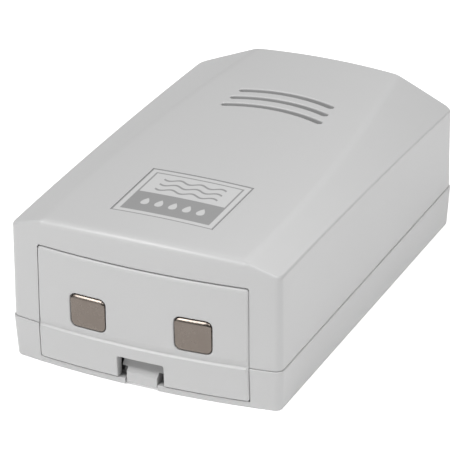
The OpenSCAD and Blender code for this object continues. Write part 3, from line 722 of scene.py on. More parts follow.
def on_front(u, v, depth):
    """Point by x, height and depth behind the cover's front face."""
    return u, face_y(u, shell_step) + depth, v


def on_top(u, v, depth):
    return u, v, top_z(u, v) - depth


def slot_outline(half, mid_y, steps=24, end_steps=8):
    """Curved slot with round ends."""
    span = math.asin(half / slot_r)
    cy = mid_y - slot_r

    def outline(spread):
        r = slot_w / 2 + spread
        points = []
        for side in (1, -1):
            turn = [side * (2 * i / steps - 1) * span for i in range(steps + 1)]
            reach = slot_r + side * r
            points += [(reach * math.sin(a), cy + reach * math.cos(a)) for a in turn]
            end = turn[-1]
            ex, ey = slot_r * math.sin(end), cy + slot_r * math.cos(end)
            bend = [end + math.pi * k / end_steps for k in range(1, end_steps)]
            points += [(ex + side * r * math.sin(a), ey + side * r * math.cos(a)) for a in bend]
        return points

    return outline


def crown_slab(x0, x1, y0, y1, depth0, depth1, rounding=0.0):
    """Slab that follows the crown between two depths."""
    cage = Cage()
    section = [(y0, depth1), (y0, depth0), (y1, depth0), (y1, depth1)]
    xs = [x0 + (x1 - x0) * i / crown_columns for i in range(crown_columns + 1)]
    rows = cage.loft([[(x, y, crown_z(x, y) - depth) for y, depth in section] for x in xs])
    if rounding:
        for k in (1, 2):
            cage.round([row[k] for row in rows], rounding)
        for row in (rows[0], rows[-1]):
            cage.round(row[1:3], rounding)
    return cage


doorway_edge = box_outline(-doorway_half, doorway_half, doorway_foot_h, doorway_top_h, doorway_r)(0.0)


def doorway(spread):
    """The doorway's outline. Only its top edge spreads, which leaves room for the door to swing."""
    return [(u, v + spread if v > split_h + over else v) for u, v in doorway_edge]


doorway_levels = [(-outside, doorway_bevel), (0.0, doorway_bevel)]
doorway_levels += [(doorway_bevel, 0.0), (ledge_in, 0.0)]
cover_tools = [tool(doorway, doorway_levels, on_front)]
for i in range(slot_count):
    half = slot_half - slot_w / 2 - i * slot_shorter
    outline = slot_outline(half, sounder_y + (i - 1) * slot_pitch)
    cover_tools.append(tool(outline, lip(slot_lip, wall + over), on_top))
bed = crown_slab(
    label_low.x - label_gap, label_high.x + label_gap, label_low.y - label_gap, label_high.y + label_gap,
    -outside, label_sink + label_t,
)
cover_tools.append(bed.build("bed"))
combine(cover, "DIFFERENCE", cover_tools)
dress(cover, case_plastic, "housing", "case_plastic", "top_cover")

# %% [markdown]
# The base is a tray, the lower half of the case. It could be a box with a hollow, but loops of the
# same plan, at different heights and insets, give its leaning outside, its rim, its inside and its
# floor in one skin, and keep it in line with the cover. A thin lip stands up inside the seam and
# locates the cover. Where the door hangs, the lip is cut away.

# %% Base tray
rim_gap = 0.15
rim_t = 1.0
rim_h = 1.6
foot_round = 0.3


def plan_row(inset, radius, z):
    return [(x, y, z) for x, y in plan(inset, radius)]


inner_in = shell_step + wall
lip_in = inner_in + rim_gap
base_section = [
    (base_draft, 0.0), (0.0, split_h), (lip_in, split_h), (lip_in, split_h + rim_h),
    (lip_in + rim_t, split_h + rim_h), (lip_in + rim_t, floor_t),
]
base_cage = Cage()
base_rows = []
for inset, z in base_section:
    base_rows.append(plan_row(inset, corner_r if inset < wall else inner_corner_r, z))
base_rows = base_cage.loft(base_rows)
base_cage.round(base_rows[0], foot_round, closed=True)
base_cage.round(base_rows[1], seam_round, closed=True)
base = base_cage.build("base_tray")
lip_free = ledge_out + stop_gap
lip_cut = front_block(-lip_free, lip_free, inner_in, 3 * inner_in, floor_t, 2 * split_h, 16)
combine(base, "DIFFERENCE", [lip_cut])
print("base cage:", len(base_cage.points), "points")

# %% [markdown]
# Inside the base stand the walls of the battery bay, four small pads under the battery, the ledges
# behind the door's sides, the posts of the board and the bosses of the case screws. Two sloping cheeks
# lead a fingertip to the latch. They show when the door is open, so they are real blocks with soft
# edges, joined to the tray by one Boolean.

# %% Battery bay, posts and bosses
battery_low, battery_high = limits("battery")
_, snap_high = limits("battery_snap")
bay_gap = 0.3
bay_wall = 1.5
bay_h = 24.0
bay_x = snap_high.x + bay_gap
bay_front = battery_low.y - bay_gap
bay_back = battery_high.y + bay_gap
sunk = floor_t - 0.3
pad_l = 4 * bay_wall
pad_w = 2 * bay_wall
soft_edge = 0.25
fine_edge = 0.1
sill_h = 1.6
tongue_half = 4.0
slit = 0.25
notch_half = 6.0
shoulder_h = 3.1
shoulder_foot_h = 1.2
shoulder_slope = 2.2
shoulder_l = 3.6
board_head_r = 2.1
post_r = 3.0
post_h = 8.0
posts = four_places("board_screws", board_head_r)


def upright(outline, z0, z1):
    cage = Cage()
    points = outline(0.0)
    cage.loft([[(x, y, z) for x, y in points] for z in (z0, z1)])
    return cage.build("upright")


def block(low, high, radius=soft_edge):
    return Cage().block(low, high, radius).build("block")


def shoulder(side):
    """Sloping cheek of the sill beside the latch."""
    y = front_y + base_draft
    section = [(y + tuck, shoulder_foot_h), (y + tuck, sill_h), (y + shoulder_slope, shoulder_h)]
    section += [(y + shoulder_l, shoulder_h), (y + shoulder_l, shoulder_foot_h)]
    xs = (side * (tongue_half + slit + tuck / 2), side * (notch_half - 2 * tuck))
    cage = Cage()
    cage.loft([[(x, y, z) for y, z in section] for x in xs])
    return cage.build("shoulder")


fittings = []
for side in (-1, 1):
    x0, x1 = sorted((side * bay_x, side * (bay_x + bay_wall)))
    fittings.append(block((x0, bay_front, sunk), (x1, bay_back + bay_wall / 2, bay_h - soft_edge / 2)))
bay_out = bay_x + bay_wall
fittings.append(block((-bay_out, bay_back, sunk), (bay_out, bay_back + bay_wall, bay_h)))
battery_y = (battery_low.y + battery_high.y) / 2
for x in (battery_low.x + pad_l, battery_high.x - pad_l):
    for y in (battery_y - pad_w, battery_y + pad_w):
        low = (x - pad_l / 2, y - pad_w / 2, sunk)
        fittings.append(block(low, (x + pad_l / 2, y + pad_w / 2, battery_low.z), fine_edge))
fittings += ledges(floor_t - rim_gap, split_h)
fittings += [shoulder(side) for side in (-1, 1)]
fittings += [upright(round_outline(x, y, post_r), floor_t / 2, post_h) for x, y in posts]
fittings += [upright(round_outline(x, y, boss_r + wall / 4), floor_t / 2, split_h) for x, y in bosses]
combine(base, "UNION", fittings)
print(len(fittings), "fittings in the base")

# %% [markdown]
# The underside has two keyholes for hanging the sensor on a wall and four deep wells for the case
# screws. The floor is slit on both sides of the latch, and the front wall opens for the door, down to
# a low sill. The keyholes' places are read from the record's mounts, so they can't drift from them.

# %% Openings in the base
tongue_low, tongue_high = limits("latch_tongue")
keyhole_r = 4.25
keyhole_slot_r = 2.2
keyhole_run = 8.0
keyholes = [mount["pos_m"] for mount in frame["record"]["mounts"] if mount["kind"] == "bore"]
well_r = 2.8
well_depth = 3.5
shank_r = 1.55
sill_r = 0.3
base_lip = 0.15
under_lip = 0.3


def on_base_front(u, v, depth):
    return u, face_y(u, base_draft * (1 - v / split_h)) + depth, v


def on_underside(u, v, depth):
    return u, v, depth


def keyhole_outline(x, y, ring_steps=24, tip_steps=10):
    """Round entry with a narrow slot towards the back."""

    def outline(spread):
        r, s = keyhole_r + spread, keyhole_slot_r + spread
        neck = math.asin(s / r)
        sweep = 2 * math.pi - 2 * neck
        ring = [math.pi / 2 + neck + sweep * i / ring_steps for i in range(ring_steps + 1)]
        tip = [math.pi * i / tip_steps for i in range(tip_steps + 1)]
        points = [(x + r * math.cos(a), y + r * math.sin(a)) for a in ring]
        return points + [(x + s * math.cos(a), y + keyhole_run + s * math.sin(a)) for a in tip]

    return outline


base_door = box_outline(-doorway_half, doorway_half, sill_h, split_h + outside, sill_r)
slot_x = tongue_half + slit
latch_slot = box_outline(-slot_x, slot_x, front_y - outside - over, tongue_high.y + stop_gap, sill_r)
combine(base, "DIFFERENCE", [tool(base_door, lip(base_lip, ledge_in), on_base_front)])
base_tools = [tool(latch_slot, lip(base_lip, floor_t + over), on_underside)]
for x, y, _ in keyholes:
    base_tools.append(tool(keyhole_outline(x / MM, y / MM), lip(under_lip, floor_t + over), on_underside))
shank = [(well_depth, shank_r - well_r), (split_h + 2 * over, shank_r - well_r)]
for x, y in bosses:
    base_tools.append(tool(round_outline(x, y, well_r), lip(under_lip, well_depth) + shank, on_underside))
combine(base, "DIFFERENCE", base_tools)
dress(base, case_plastic, "housing", "case_plastic", "base")

# %% [markdown]
# The door hangs in the doorway and stands a little proud of it, as loose mouldings do. Above the seam
# it follows the cover, below it the leaning base, and the fold between the two catches the light as a
# pale line. A Bevel modifier could round its edges, but the notch and the fold cross them. So the panel
# is a bowed slab with the fold in its face, trimmed by a tool whose outline shrinks towards the face.
# This rounds all edges at once, the top one most, since it turns inwards when the door tilts out.

# %% Battery door panel
door_bottom_h = 1.68
door_corner_r = 0.7
door_proud = 0.3
door_side_r = 0.6
door_top_r = 1.2
fold_h = split_h
fold_w = 0.8
groove_depth = 0.4
groove_h = 2.2
door_columns = 18
trim_steps = 9
low_row_h = 6.0
high_row_h = 18.0


def door_inset(z):
    """How far the door's face lies behind the base's upper edge, with a soft fold at the seam."""
    lean = base_draft * (1 - min(z, split_h) / split_h)
    t = min(max((z - fold_h) / fold_w + 0.5, 0.0), 1.0)
    groove = groove_depth * min(max(1 - (z - fold_h) / groove_h, 0.0), 1.0)
    return lean + (shell_step + groove - lean) * t * t * (3 - 2 * t) - door_proud


def on_door(u, v, depth):
    return u, face_y(u, door_inset(v)) + depth, v


fold_rows = [fold_h + fold_w * (i / 6 - 0.5) for i in range(7)]
groove_rows = [fold_h + groove_h * share for share in (0.4, 0.7, 1.0)]
door_heights = [door_bottom_h - over, low_row_h, *fold_rows, *groove_rows, high_row_h, door_top_h + over]
door_cage = Cage()
door_reach = door_half + over
door_xs = [door_reach * (2 * i / door_columns - 1) for i in range(door_columns + 1)]
door_rows = []
for x in door_xs:
    back = [(x, face_y(x, door_in), z) for z in (door_heights[-1], door_heights[0])]
    door_rows.append([on_door(x, z, 0) for z in door_heights] + back)
door_cage.loft(door_rows)
door = door_cage.build("door_panel")
door_outline = box_outline(-door_half, door_half, door_bottom_h, door_top_h, door_corner_r, 1.0)(0.0)
door_mid = (door_bottom_h + door_top_h) / 2
door_half_h = door_top_h - door_mid


def edge_cut(radius, depth):
    """How far a rounded edge draws the outline in at a depth behind the face."""
    short = min(max(radius - depth, 0.0), radius)
    return radius - math.sqrt(radius**2 - short**2)


def door_edge(depth):
    """The door's outline at a depth: its top edge is rounder than the others."""
    side, top = edge_cut(door_side_r, depth), edge_cut(door_top_r, depth)
    width = 1 - side / door_half
    upper, lower = 1 - top / door_half_h, 1 - side / door_half_h
    points = []
    for u, v in door_outline:
        height = upper if v > door_mid else lower
        points.append((u * width, door_mid + (v - door_mid) * height))
    return points


trim_turn = [math.pi / 2 * i / trim_steps for i in range(trim_steps + 1)]
trim_depths = [door_top_r * (1 - math.cos(a)) for a in trim_turn]
trim_depths = [-outside, *trim_depths, 2 * outside]
combine(door, "INTERSECT", [tool(door_edge, [(depth, depth) for depth in trim_depths], on_door)])
print("door panel:", len(door.data.polygons), "faces")

# %% [markdown]
# The back of the door carries the seats of the electrodes with their pegs, two hooks that reach up
# behind the cover and make the hinge, and the bar above the latch. They are seen only with the door
# open, so rounded blocks do, joined to the panel before anything is cut through both.

# %% Hooks, seats and catch
electrode_x = 13.6
electrode_h = 17.0
window_w = 9.5
window_h = 8.8
window_r = 1.6
flange_lip = 1.3
_, pad_high = limits("left_electrode")
sheet_t = 0.4
seat_y = pad_high.y - sheet_t
seat_half_w = window_w / 2 + flange_lip + stop_gap
seat_half_h = window_h / 2 + flange_lip + stop_gap
root_y = face_y(0, door_in) - door_t / 2
peg_x = 21.0
peg_r = 0.9
hook_x = 18.0
hook_w = 7.0
hook_h = 2.6
hook_t = 1.5
catch_y = front_y + 4.8
catch_t = 1.2
catch_h = 4.0
catch_z = 7.0
catch_half = tongue_half + catch_t


def hook(x):
    """Hinge hook: a plate behind the cover and the foot that joins it to the door."""
    y0 = face_y(abs(x) + hook_w / 2, shell_step + wall + stop_gap)
    foot_y = face_y(abs(x) - hook_w / 2, shell_step) + door_t / 2
    low_z = door_top_h - 2 * hook_h
    edge = hook_w / 2
    up = block((x - edge, y0, low_z), (x + edge, y0 + hook_t, low_z + 3 * hook_h))
    inner = tuck / 2
    foot_low = (x - edge + inner, foot_y, low_z + inner)
    foot = block(foot_low, (x + edge - inner, y0 + hook_t - inner, low_z + hook_h))
    return [up, foot]


def peg(x):
    """Pin that fixes an electrode's strip to the door."""
    circle = round_outline(x, electrode_h, peg_r, 16)(0.0)
    cage = Cage()
    y0 = face_y(peg_x, door_in) - door_t / 2
    cage.loft([[(u, y, v) for u, v in circle] for y in (y0, pad_high.y + stop_gap)])
    return cage.build("peg")


door_fittings = []
for side in (-1, 1):
    x = side * electrode_x
    low = (x - seat_half_w, root_y, electrode_h - seat_half_h)
    door_fittings.append(block(low, (x + seat_half_w, seat_y, electrode_h + seat_half_h)))
    door_fittings.append(peg(side * peg_x))
    x0, x1 = sorted((side * tongue_half, side * catch_half))
    door_fittings.append(block((x0, root_y, catch_z), (x1, catch_y + catch_t, catch_z + catch_h)))
bar_low = (-catch_half + tuck, catch_y, catch_z)
bar_high = (catch_half - tuck, catch_y + catch_t - tuck, catch_z + catch_h - tuck)
door_fittings.append(block(bar_low, bar_high))
door_fittings += hook(-hook_x) + hook(hook_x)
combine(door, "UNION", door_fittings)
print(len(door_fittings), "fittings on the door")

# %% [markdown]
# Two windows let the electrodes through, and a notch in the lower edge takes the fingertip that
# presses the latch. They are cut after the fittings are on, because the windows go through panel and
# seat alike. The tools follow the door's own face, so that each lip is rounded evenly over the fold.

# %% Windows and finger notch
window_lip = 0.4
notch_lip = 0.3
notch_r = 0.5
notch_h = 7.4
notch_foot_h = -3.0
door_tools = []
for side in (-1, 1):
    x = side * electrode_x
    window = box_outline(
        x - window_w / 2, x + window_w / 2, electrode_h - window_h / 2, electrode_h + window_h / 2, window_r
    )
    door_tools.append(tool(window, lip(window_lip, 2 * outside), on_door))
notch = box_outline(-notch_half, notch_half, notch_foot_h, notch_h, notch_r)
door_tools.append(tool(notch, lip(notch_lip, door_t + over), on_door))
combine(door, "DIFFERENCE", door_tools)
dress(door, case_plastic, "door", "case_plastic", "battery_door")

# %% [markdown]
# The electrodes are pressed metal pads: a shallow dome that leans back a little, with a bevelled upper
# edge and a rim that rolls back into the window. A press shapes them from sheet. Here rings of the
# window's outline, each a little smaller, follow that profile, which keeps the reflections smooth.
# Behind the door the sheet spreads into a flange and a strip, which meets a spring when the door is
# shut.

# %% Electrodes
pad_gap = 0.1
pad_proud = 0.5
pad_lean = 0.45
pad_dome = 0.2
pad_roll = 0.35
pad_slope_h = 0.85
pad_slope_drop = 0.75
pad_slope_ease = 1.15
pad_rings = 14
ring_span = 0.92
ring_ease = 1.6
seat_gap = 0.02
strip_in = 0.01
strip_half = 2.5
strip_end = 25.0


def pad_depth(below):
    """Depth of a pad's face by the distance below its upper edge: it leans, and that edge is bevelled."""
    share = max(1 - below / pad_slope_h, 0.0)
    return pad_lean * below / window_h - pad_proud + pad_slope_drop * share**pad_slope_ease


def electrode(name, side):
    """Pad, flange and strip in one piece of sheet."""
    x = side * electrode_x
    half_x, half_z = window_w / 2 - pad_gap, window_h / 2 - pad_gap
    outline = box_outline(
        x - half_x, x + half_x, electrode_h - half_z, electrode_h + half_z, window_r - pad_gap, 1.5
    )
    edge = outline(0.0)
    flange = outline(flange_lip + pad_gap)
    flange_y = seat_y + seat_gap
    rows = [[(u, y, v) for u, v in flange] for y in (pad_high.y, flange_y)]
    rows.append([(u, flange_y, v) for u, v in edge])
    for i in range(pad_rings + 1):
        scale = 1 - ring_span * (i / pad_rings) ** ring_ease
        inward = min((1 - scale) * half_z / pad_roll, 1.0)
        hollow = pad_dome * scale**2 + pad_roll * (1 - math.sqrt(1 - (1 - inward) ** 2))
        ring = [(x + (u - x) * scale, electrode_h + (v - electrode_h) * scale) for u, v in edge]
        rows.append([on_door(u, v, hollow + pad_depth(electrode_h + half_z - v)) for u, v in ring])
    cage = Cage()
    cage.loft(rows)
    pad = cage.build(name)
    x0, x1 = sorted((x, side * strip_end))
    low = (x0, flange_y + strip_in, electrode_h - strip_half)
    strip = block(low, (x1, pad_high.y - strip_in, electrode_h + strip_half), fine_edge)
    combine(pad, "UNION", [strip])
    return pad


def metal(name, dark, light, rough, grain=3.0):
    """Plated or bare metal: a smeared tone, and gloss that changes with it."""
    finish = Finish(name, Metallic=1.0)
    smear = finish.noise(grain, 3)
    scratches = finish.noise(0.3, 4)
    finish.set(Base_Color=finish.mix(smear, (*dark, 1.0), (*light, 1.0)))
    finish.set(Roughness=rough + 0.12 * smear + 0.06 * scratches)
    finish.bump(scratches, 0.004, 0.4)
    return finish.material


pad_metal = metal("electrode_metal", (0.155, 0.132, 0.115), (0.185, 0.16, 0.142), 0.18)
for name, side in (("left_pad", -1), ("right_pad", 1)):
    pad = electrode(name, side)
    dress(pad, pad_metal, "door", "electrode_metal", name.replace("pad", "electrode"))

# %% [markdown]
# The latch is a tongue of the floor with a hollow ramp on it, which a fingertip presses down. It is
# moulded with the base, but it bends, so it is a piece of its own on its own body. Its side view is a
# short outline, drawn once and pulled across the width: first the tongue, then its wider head.

# %% Latch tongue
ramp_back = front_y + 4.4
head_half = 5.5
head_foot_h = 4.3
tongue_lip_h = 3.5
tongue_round = 0.5
ramp_r = 20.0
ramp_from = 45
ramp_to = 57
ramp_steps = 8
ramp_y = tongue_low.y + 0.45
head_overlap = 0.3
head_lift = 0.02


def ramp(step):
    """Side view of the hollow ramp: an arc that starts shallow and grows steep."""
    start = math.radians(ramp_from)
    angle = math.radians(ramp_from + (ramp_to - ramp_from) * step / ramp_steps)
    rise = ramp_r * (math.cos(start) - math.cos(angle))
    return ramp_y + ramp_r * (math.sin(angle) - math.sin(start)), tongue_lip_h + rise


def pulled(side_view, half):
    """A side view pulled across the latch."""
    cage = Cage()
    rows = cage.loft([[(x, y, z) for y, z in side_view] for x in (-half, half)])
    return cage, rows


ramp_line = [ramp(step) for step in range(ramp_steps + 1)]
lower_ramp = [point for point in ramp_line if point[1] < head_foot_h + tuck]
tongue_side = [
    (tongue_low.y, tongue_low.z), (tongue_high.y, tongue_low.z), (tongue_high.y, floor_t),
    (ramp_back - tuck, floor_t), (ramp_back - tuck, lower_ramp[-1][1]),
    *reversed(lower_ramp), (tongue_low.y, tongue_lip_h),
]
tongue_cage, tongue_rows = pulled(tongue_side, tongue_half)
for row in tongue_rows:
    tongue_cage.round(row[-1:] + row[:1], tongue_round / 2)
tongue_cage.round([row[-1] for row in tongue_rows], tongue_round)
tongue = tongue_cage.build("tongue")
upper_ramp = [point for point in ramp_line if point[1] >= head_foot_h - head_overlap]
head_side = [(ramp_back, head_foot_h), (ramp_back, ramp_line[-1][1])]
head_side += [(y - head_lift, z + head_lift) for y, z in reversed(upper_ramp)]
head_side.append((upper_ramp[0][0], head_foot_h))
head_cage, _ = pulled(head_side, head_half)
combine(tongue, "UNION", [head_cage.build("head")])
dress(tongue, case_plastic, "latch", "case_plastic", "latch_tongue")

# %% [markdown]
# The label is a thin plate in its bed, printed in two tones: a framed light field above a dark band.
# A picture could be laid on it, but the print is worked out from the position on the plate, so it stays
# sharp at any size. Wave lines in the field and a row of drops in the band say what the sensor is for.

# %% Label
label_y = (label_low.y + label_high.y) / 2
label_half = label_high.x
frame_in = 1.6
frame_line = 0.45
edge_line = 0.35
band_top = -0.4
ink_grey = 0.25
paper_grey = 0.48
plate_half_y = label_high.y - label_y
field_half_x = label_half - frame_in
field_half_y = plate_half_y - frame_in
wave_mid = 4.6
wave_step = 2.6
wave_length = 5.4
wave_swing = 0.55
wave_line = 0.36
wave_half_x = 8.1
wave_half_y = 1.4 * wave_step
drop_step = 3.6
drop_h = 3.4
drop_foot = -6.7
drop_fullness = 6.4
drops_half_x = 9.0
plate_clear = 0.02
plate_round = 0.06

print_finish = Finish("label_print", IOR=1.5)
px, py, _ = print_finish.axes((0, label_y, 0))
field = px.within(field_half_x) * py.within(field_half_y)
inner_field = px.within(field_half_x - frame_line) * py.within(field_half_y - frame_line)
band = field * py.below(band_top)
plate_edge = 1 - px.within(label_half - edge_line) * py.within(plate_half_y - edge_line)
wave = wave_swing * (px * (2 * math.pi / wave_length)).math("SINE")
wave_rows = (py - wave_mid).within(wave_half_y) * px.within(wave_half_x)
waves = (py - wave_mid - wave).repeat(wave_step).within(wave_line) * wave_rows
rise = (py - drop_foot) * (1 / drop_h)
across = px.repeat(drop_step)
drop_width = rise * (1 - rise) * (1 - rise) * drop_fullness
drop_row = rise.above(0.0) * rise.below(1.0) * px.within(drops_half_x)
drops = (drop_width - across * across).above(0.0) * drop_row
ink = (field - inner_field + band + plate_edge).math("MINIMUM", 1.0) - drops
ink = (ink + waves).math("MINIMUM", 1.0)
blotch = print_finish.noise(1.5, 3)
paper = print_finish.mix(blotch, grey(paper_grey * 0.98), grey(paper_grey * 1.02))
print_finish.set(Base_Color=print_finish.mix(ink, paper, grey(ink_grey)))
print_finish.set(Roughness=0.42 + 0.1 * blotch)
plate_foot = label_sink + label_t - plate_clear
label = crown_slab(
    label_low.x, label_high.x, label_low.y, label_high.y, label_sink, plate_foot, plate_round
)
dress(label.build("label"), print_finish.material, "housing", "label_print", "label_plate")

# %% [markdown]
# The battery is a block in a printed metal jacket. The jacket is rolled over at both ends, which
# shows as a bright rim. Copies of one outline, slightly smaller towards each end, make the roll.

# %% Battery
cell_r = 1.8
cell_l = battery_high.x - battery_low.x
cell_outline = box_outline(battery_low.y, battery_high.y, battery_low.z, battery_high.z, cell_r, 6.0, 6)
roll = [(0.5, -1.6), (0.5, -1.1), (0.15, -0.9), (0.0, -0.6), (0.1, -0.25), (0.45, 0.0)]
flat_end = [(0.45, 0.0), (0.1, -0.25), (0.0, -0.6), (0.0, -1.6)]
rim_w = 0.7
stripe_half = 4.0
pinstripe_from, pinstripe_to = 4.8, 5.2
battery_stations = roll + [(cell_l - x, spread) for x, spread in flat_end]
battery_cage = Cage()
battery_cage.loft(
    [[(battery_low.x + x, u, v) for u, v in cell_outline(spread)] for x, spread in battery_stations]
)
jacket = Finish("battery_jacket")
bx, _, _ = jacket.axes((battery_low.x, 0, 0))
rims = bx.below(rim_w) + bx.above(cell_l - rim_w)
from_stripe = bx - cell_l * 0.72
stripe = from_stripe.within(stripe_half)
pinstripe = from_stripe.within(pinstripe_to) - from_stripe.within(pinstripe_from)
grime = jacket.noise(4.0, 4)
body_tone = jacket.mix(grime, (0.028, 0.034, 0.05, 1), (0.036, 0.043, 0.062, 1))
body_tone = jacket.mix(stripe + pinstripe, body_tone, (0.42, 0.43, 0.44, 1))
jacket.set(Base_Color=jacket.mix(rims, body_tone, (0.62, 0.6, 0.57, 1)))
jacket.set(Metallic=0.25 + 0.75 * rims)
jacket.set(Roughness=0.3 + 0.1 * grime)
dress(battery_cage.build("battery_block"), jacket.material, "housing", "battery_jacket", "battery")

# %% [markdown]
# The other inner pieces hardly show, so they keep their construction shape and only get a finish. Wire,
# spring and screw are metals of different tone and gloss, and sleeves and caps are soft plastics. Two
# functions make them all, because such finishes differ only in colour, gloss and grain.


# %% Finishes of the inner metal and plastic pieces
def paint(material, *nodes):
    """Give construction pieces a finish, and leave their shape alone."""
    for node in nodes:
        for place in frame["nodes"][node].material_slots:
            place.material = material


def soft_plastic(name, colour, rough):
    """Coloured plastic: a slow change of tone, a fine grain and uneven gloss."""
    finish = Finish(name, IOR=1.48)
    cloud = finish.noise(5.0, 3)
    grain = finish.noise(0.25, 2)
    shade = tuple(c * 0.82 for c in colour)
    finish.set(Base_Color=finish.mix(cloud, (*shade, 1.0), (*colour, 1.0)))
    finish.set(Roughness=rough + 0.15 * grain)
    finish.bump(grain, 0.01, 0.4)
    return finish.material


bronze = metal("spring_bronze", (0.6, 0.42, 0.22), (0.72, 0.52, 0.3), 0.25)
paint(bronze, "left_contact_spring", "right_contact_spring")
paint(metal("screw_steel", (0.5, 0.5, 0.49), (0.64, 0.64, 0.63), 0.3, 1.5), "board_screws", "case_screws")
paint(metal("disc_brass", (0.7, 0.5, 0.22), (0.8, 0.6, 0.3), 0.22), "sounder_disc")
tin = metal("tinned_metal", (0.66, 0.66, 0.65), (0.76, 0.76, 0.75), 0.2, 1.5)
paint(tin, "sounder_pins", "radio_shield", "battery_terminals", "snap_contacts")
paint(metal("copper_wire", (0.68, 0.33, 0.18), (0.8, 0.42, 0.25), 0.2), "antenna_wire")
paint(soft_plastic("snap_rubber", (0.02, 0.02, 0.021), 0.55), "battery_snap")
paint(soft_plastic("red_sleeve", (0.5, 0.02, 0.018), 0.3), "red_lead")
paint(soft_plastic("black_sleeve", (0.018, 0.018, 0.018), 0.3), "black_lead")
print("inner metals and plastics painted")

# %% [markdown]
# A circuit board is glass fibre under a thin green lacquer, with copper tracks that show through as
# paler lines. Rows of lines, switched on and off by blocks of noise, look like tracks at this size.


# %% Circuit boards
def laminate(name, lacquer, track, pitch, pad_half=0.5):
    """Lacquered board with tracks and tinned pads on a grid."""
    finish = Finish(name, IOR=1.55)
    x, y, _ = finish.axes()
    track_half = pitch * 0.18
    across = x.repeat(pitch).within(track_half) * finish.noise(9.0, 0).above(0.5)
    along = y.repeat(pitch).within(track_half) * finish.noise(7.0, 0).below(0.48)
    grid = x.repeat(pitch * 2).within(pad_half) * y.repeat(pitch * 2).within(pad_half)
    pads = grid * finish.noise(4.0, 0).above(0.58)
    tracks = across.math("MAXIMUM", along)
    weave = finish.noise(0.8, 2)
    base_tone = finish.mix(weave * 0.3, (*lacquer, 1.0), (*track, 1.0))
    tone = finish.mix(tracks * 0.6, base_tone, (*track, 1.0))
    finish.set(Base_Color=finish.mix(pads, tone, (0.66, 0.65, 0.6, 1)))
    finish.set(Metallic=pads * 0.9)
    finish.set(Roughness=0.3 + 0.2 * weave)
    finish.bump(tracks, 0.03, 0.6)
    return finish.material


paint(laminate("board_laminate", (0.012, 0.09, 0.03), (0.03, 0.17, 0.055), 1.27), "circuit_board")
paint(laminate("radio_laminate", (0.01, 0.035, 0.11), (0.03, 0.08, 0.2), 1.0), "radio_board")
print("boards painted")

# %% [markdown]
# Three pieces hold two materials in one solid: the chip with its tinned legs, the capacitors with
# their bare aluminium tops, and the sounder with fine turned rings on its lid. Masks from the position
# tell the parts apart.

# %% Chip, capacitors and sounder
chip_low, chip_high = limits("controller_chip")
chip_mid = (chip_low + chip_high) / 2
chip_leg = 1.2
dot_x, dot_y, dot_r = -2.6, 4.0, 0.5
lid_t = 0.2
ring_pitch = 0.8
chip = Finish("chip_plastic")
cx, cy, _ = chip.axes(chip_mid)
body_mask = cx.within(chip_high.x - chip_mid.x - chip_leg)
dx, dy = cx - dot_x, cy - dot_y
dot = (dx * dx + dy * dy).below(dot_r**2)
speckle = chip.noise(0.3, 2)
epoxy = chip.mix(speckle, (0.016, 0.016, 0.017, 1), (0.03, 0.03, 0.031, 1))
epoxy = chip.mix(dot, epoxy, grey(0.1))
chip.set(Base_Color=chip.mix(body_mask, grey(0.7), epoxy))
chip.set(Metallic=1 - body_mask)
chip.set(Roughness=0.3 + 0.35 * body_mask + 0.1 * speckle)
paint(chip.material, "controller_chip")

_, cap_high = limits("capacitors")
cap = Finish("capacitor_sleeve")
_, _, cz = cap.axes((0, 0, cap_high.z))
lid = cz.above(-lid_t)
film = cap.noise(2.0, 2)
sleeve = cap.mix(film, (0.01, 0.014, 0.045, 1), (0.018, 0.024, 0.07, 1))
cap.set(Base_Color=cap.mix(lid, sleeve, grey(0.75)))
cap.set(Metallic=lid * 1.0)
cap.set(Roughness=0.28 + 0.1 * film)
paint(cap.material, "capacitors")

sounder = Finish("black_plastic")
sx, sy, _ = sounder.axes((0, sounder_y, 0))
radius = (sx * sx + sy * sy).math("SQRT")
turned = radius.repeat(ring_pitch).math("ABSOLUTE")
dust = sounder.noise(1.2, 3)
sounder.set(Base_Color=sounder.mix(dust, (0.012, 0.012, 0.012, 1), (0.024, 0.024, 0.024, 1)))
sounder.set(Roughness=0.42 + 0.15 * dust)
sounder.bump(turned, 0.05, 0.5)
paint(sounder.material, "sounder_case")
print("chip, capacitors and sounder painted")

# %% [markdown]
# The sensor stands on a white table that glows a little, as for a catalogue picture, so that no shadow
# shows. The key light comes from the upper left and draws the bright lines on the rounded edges. The
# others only fill: a large one from the right, one from behind and a low one from the front.

# %% Floor and light
floor_reach = 3.0
floor_drop = 0.05
table_glow = 0.35
sky_strength = 0.08
light_distance = 1.0
soft_boxes = {
    "key": (-40, 55, 0.4, 6.2),
    "right_fill": (66, 62, 0.5, 6.6),
    "back_fill": (180, 50, 0.5, 2.2),
    "low_fill": (-30, 15, 0.5, 0.9),
}
floor_mesh = bpy.data.meshes.new("floor")
ends = (-floor_reach, floor_reach)
corners = [(x, y, -floor_drop * MM) for x, y in zip(ends * 2, (ends[0], ends[0], ends[1], ends[1]))]
floor_mesh.from_pydata(corners, [], [(0, 1, 3, 2)])
floor = bpy.data.objects.new("floor", floor_mesh)
scene.collection.objects.link(floor)
paper_finish = Finish("floor_paper", Roughness=0.9)
fibre = paper_finish.noise(60, 3)
paper_finish.set(Base_Color=paper_finish.mix(fibre, grey(0.89), grey(0.91)))
paper_finish.set(Emission_Color=grey(1.0), Emission_Strength=table_glow)
floor_mesh.materials.append(paper_finish.material)

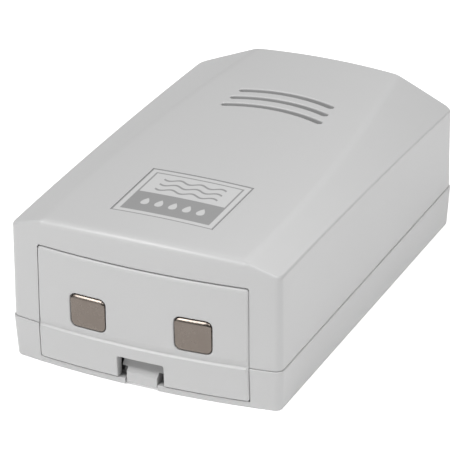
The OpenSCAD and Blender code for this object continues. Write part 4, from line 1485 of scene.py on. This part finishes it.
world = bpy.data.worlds.new("studio")
scene.world = world
world.use_nodes = True
sky = world.node_tree.nodes["Background"]
sky.inputs["Color"].default_value = (1, 1, 1, 1)
sky.inputs["Strength"].default_value = sky_strength
middle = Vector((0, 0, 0.02))


def soft_box(name, turn, rise, size, power):
    """Square light, turned from the front towards the right and raised, both in degrees."""
    light = bpy.data.lights.new(name, "AREA")
    light.size = size
    light.energy = power
    lamp = bpy.data.objects.new(name, light)
    scene.collection.objects.link(lamp)
    turn, rise = math.radians(turn), math.radians(rise)
    level = math.cos(rise)
    reach = Vector((math.sin(turn) * level, -math.cos(turn) * level, math.sin(rise)))
    lamp.location = middle + light_distance * reach
    lamp.rotation_euler = reach.to_track_quat("Z", "Y").to_euler()
    print(f"{name}: {power} W")


for name, setting in soft_boxes.items():
    soft_box(name, *setting)
scene.view_settings.view_transform = "Standard"

# %% [markdown]
# The camera stands far off with a long lens, a little above the sensor and to its right, which keeps
# the case's edges almost parallel. Its place is given by two angles, a distance and a small shift: each
# of them can be changed alone, which is harder with a bare location and rotation.

# %% Camera
camera_f = 3974.227
frame_px = 460
azimuth = math.radians(24.853)
elevation = math.radians(27.571)
roll_angle = math.radians(-0.473)
shift_right = 1.896
shift_up = 2.087
distance = 969.5
aim = Vector((0, 0, 18))

level = Vector((math.cos(azimuth), math.sin(azimuth), 0))
outward = Vector((math.sin(azimuth), -math.cos(azimuth), 0))
away = math.cos(elevation) * outward + math.sin(elevation) * Vector((0, 0, 1))
upward = away.cross(level)
right = math.cos(roll_angle) * level + math.sin(roll_angle) * upward
up = math.cos(roll_angle) * upward - math.sin(roll_angle) * level
camera_data = bpy.data.cameras.new("camera")
camera_data.sensor_width = 36.0
camera_data.lens = camera_f / frame_px * camera_data.sensor_width
camera = bpy.data.objects.new("camera", camera_data)
scene.collection.objects.link(camera)
eye = aim - shift_right * right - shift_up * up + distance * away
turn = Matrix((right, up, away)).transposed().to_4x4()
camera.matrix_world = Matrix.Translation(eye * MM) @ turn
scene.camera = camera
print("camera lens", round(camera_data.lens, 1), "mm")
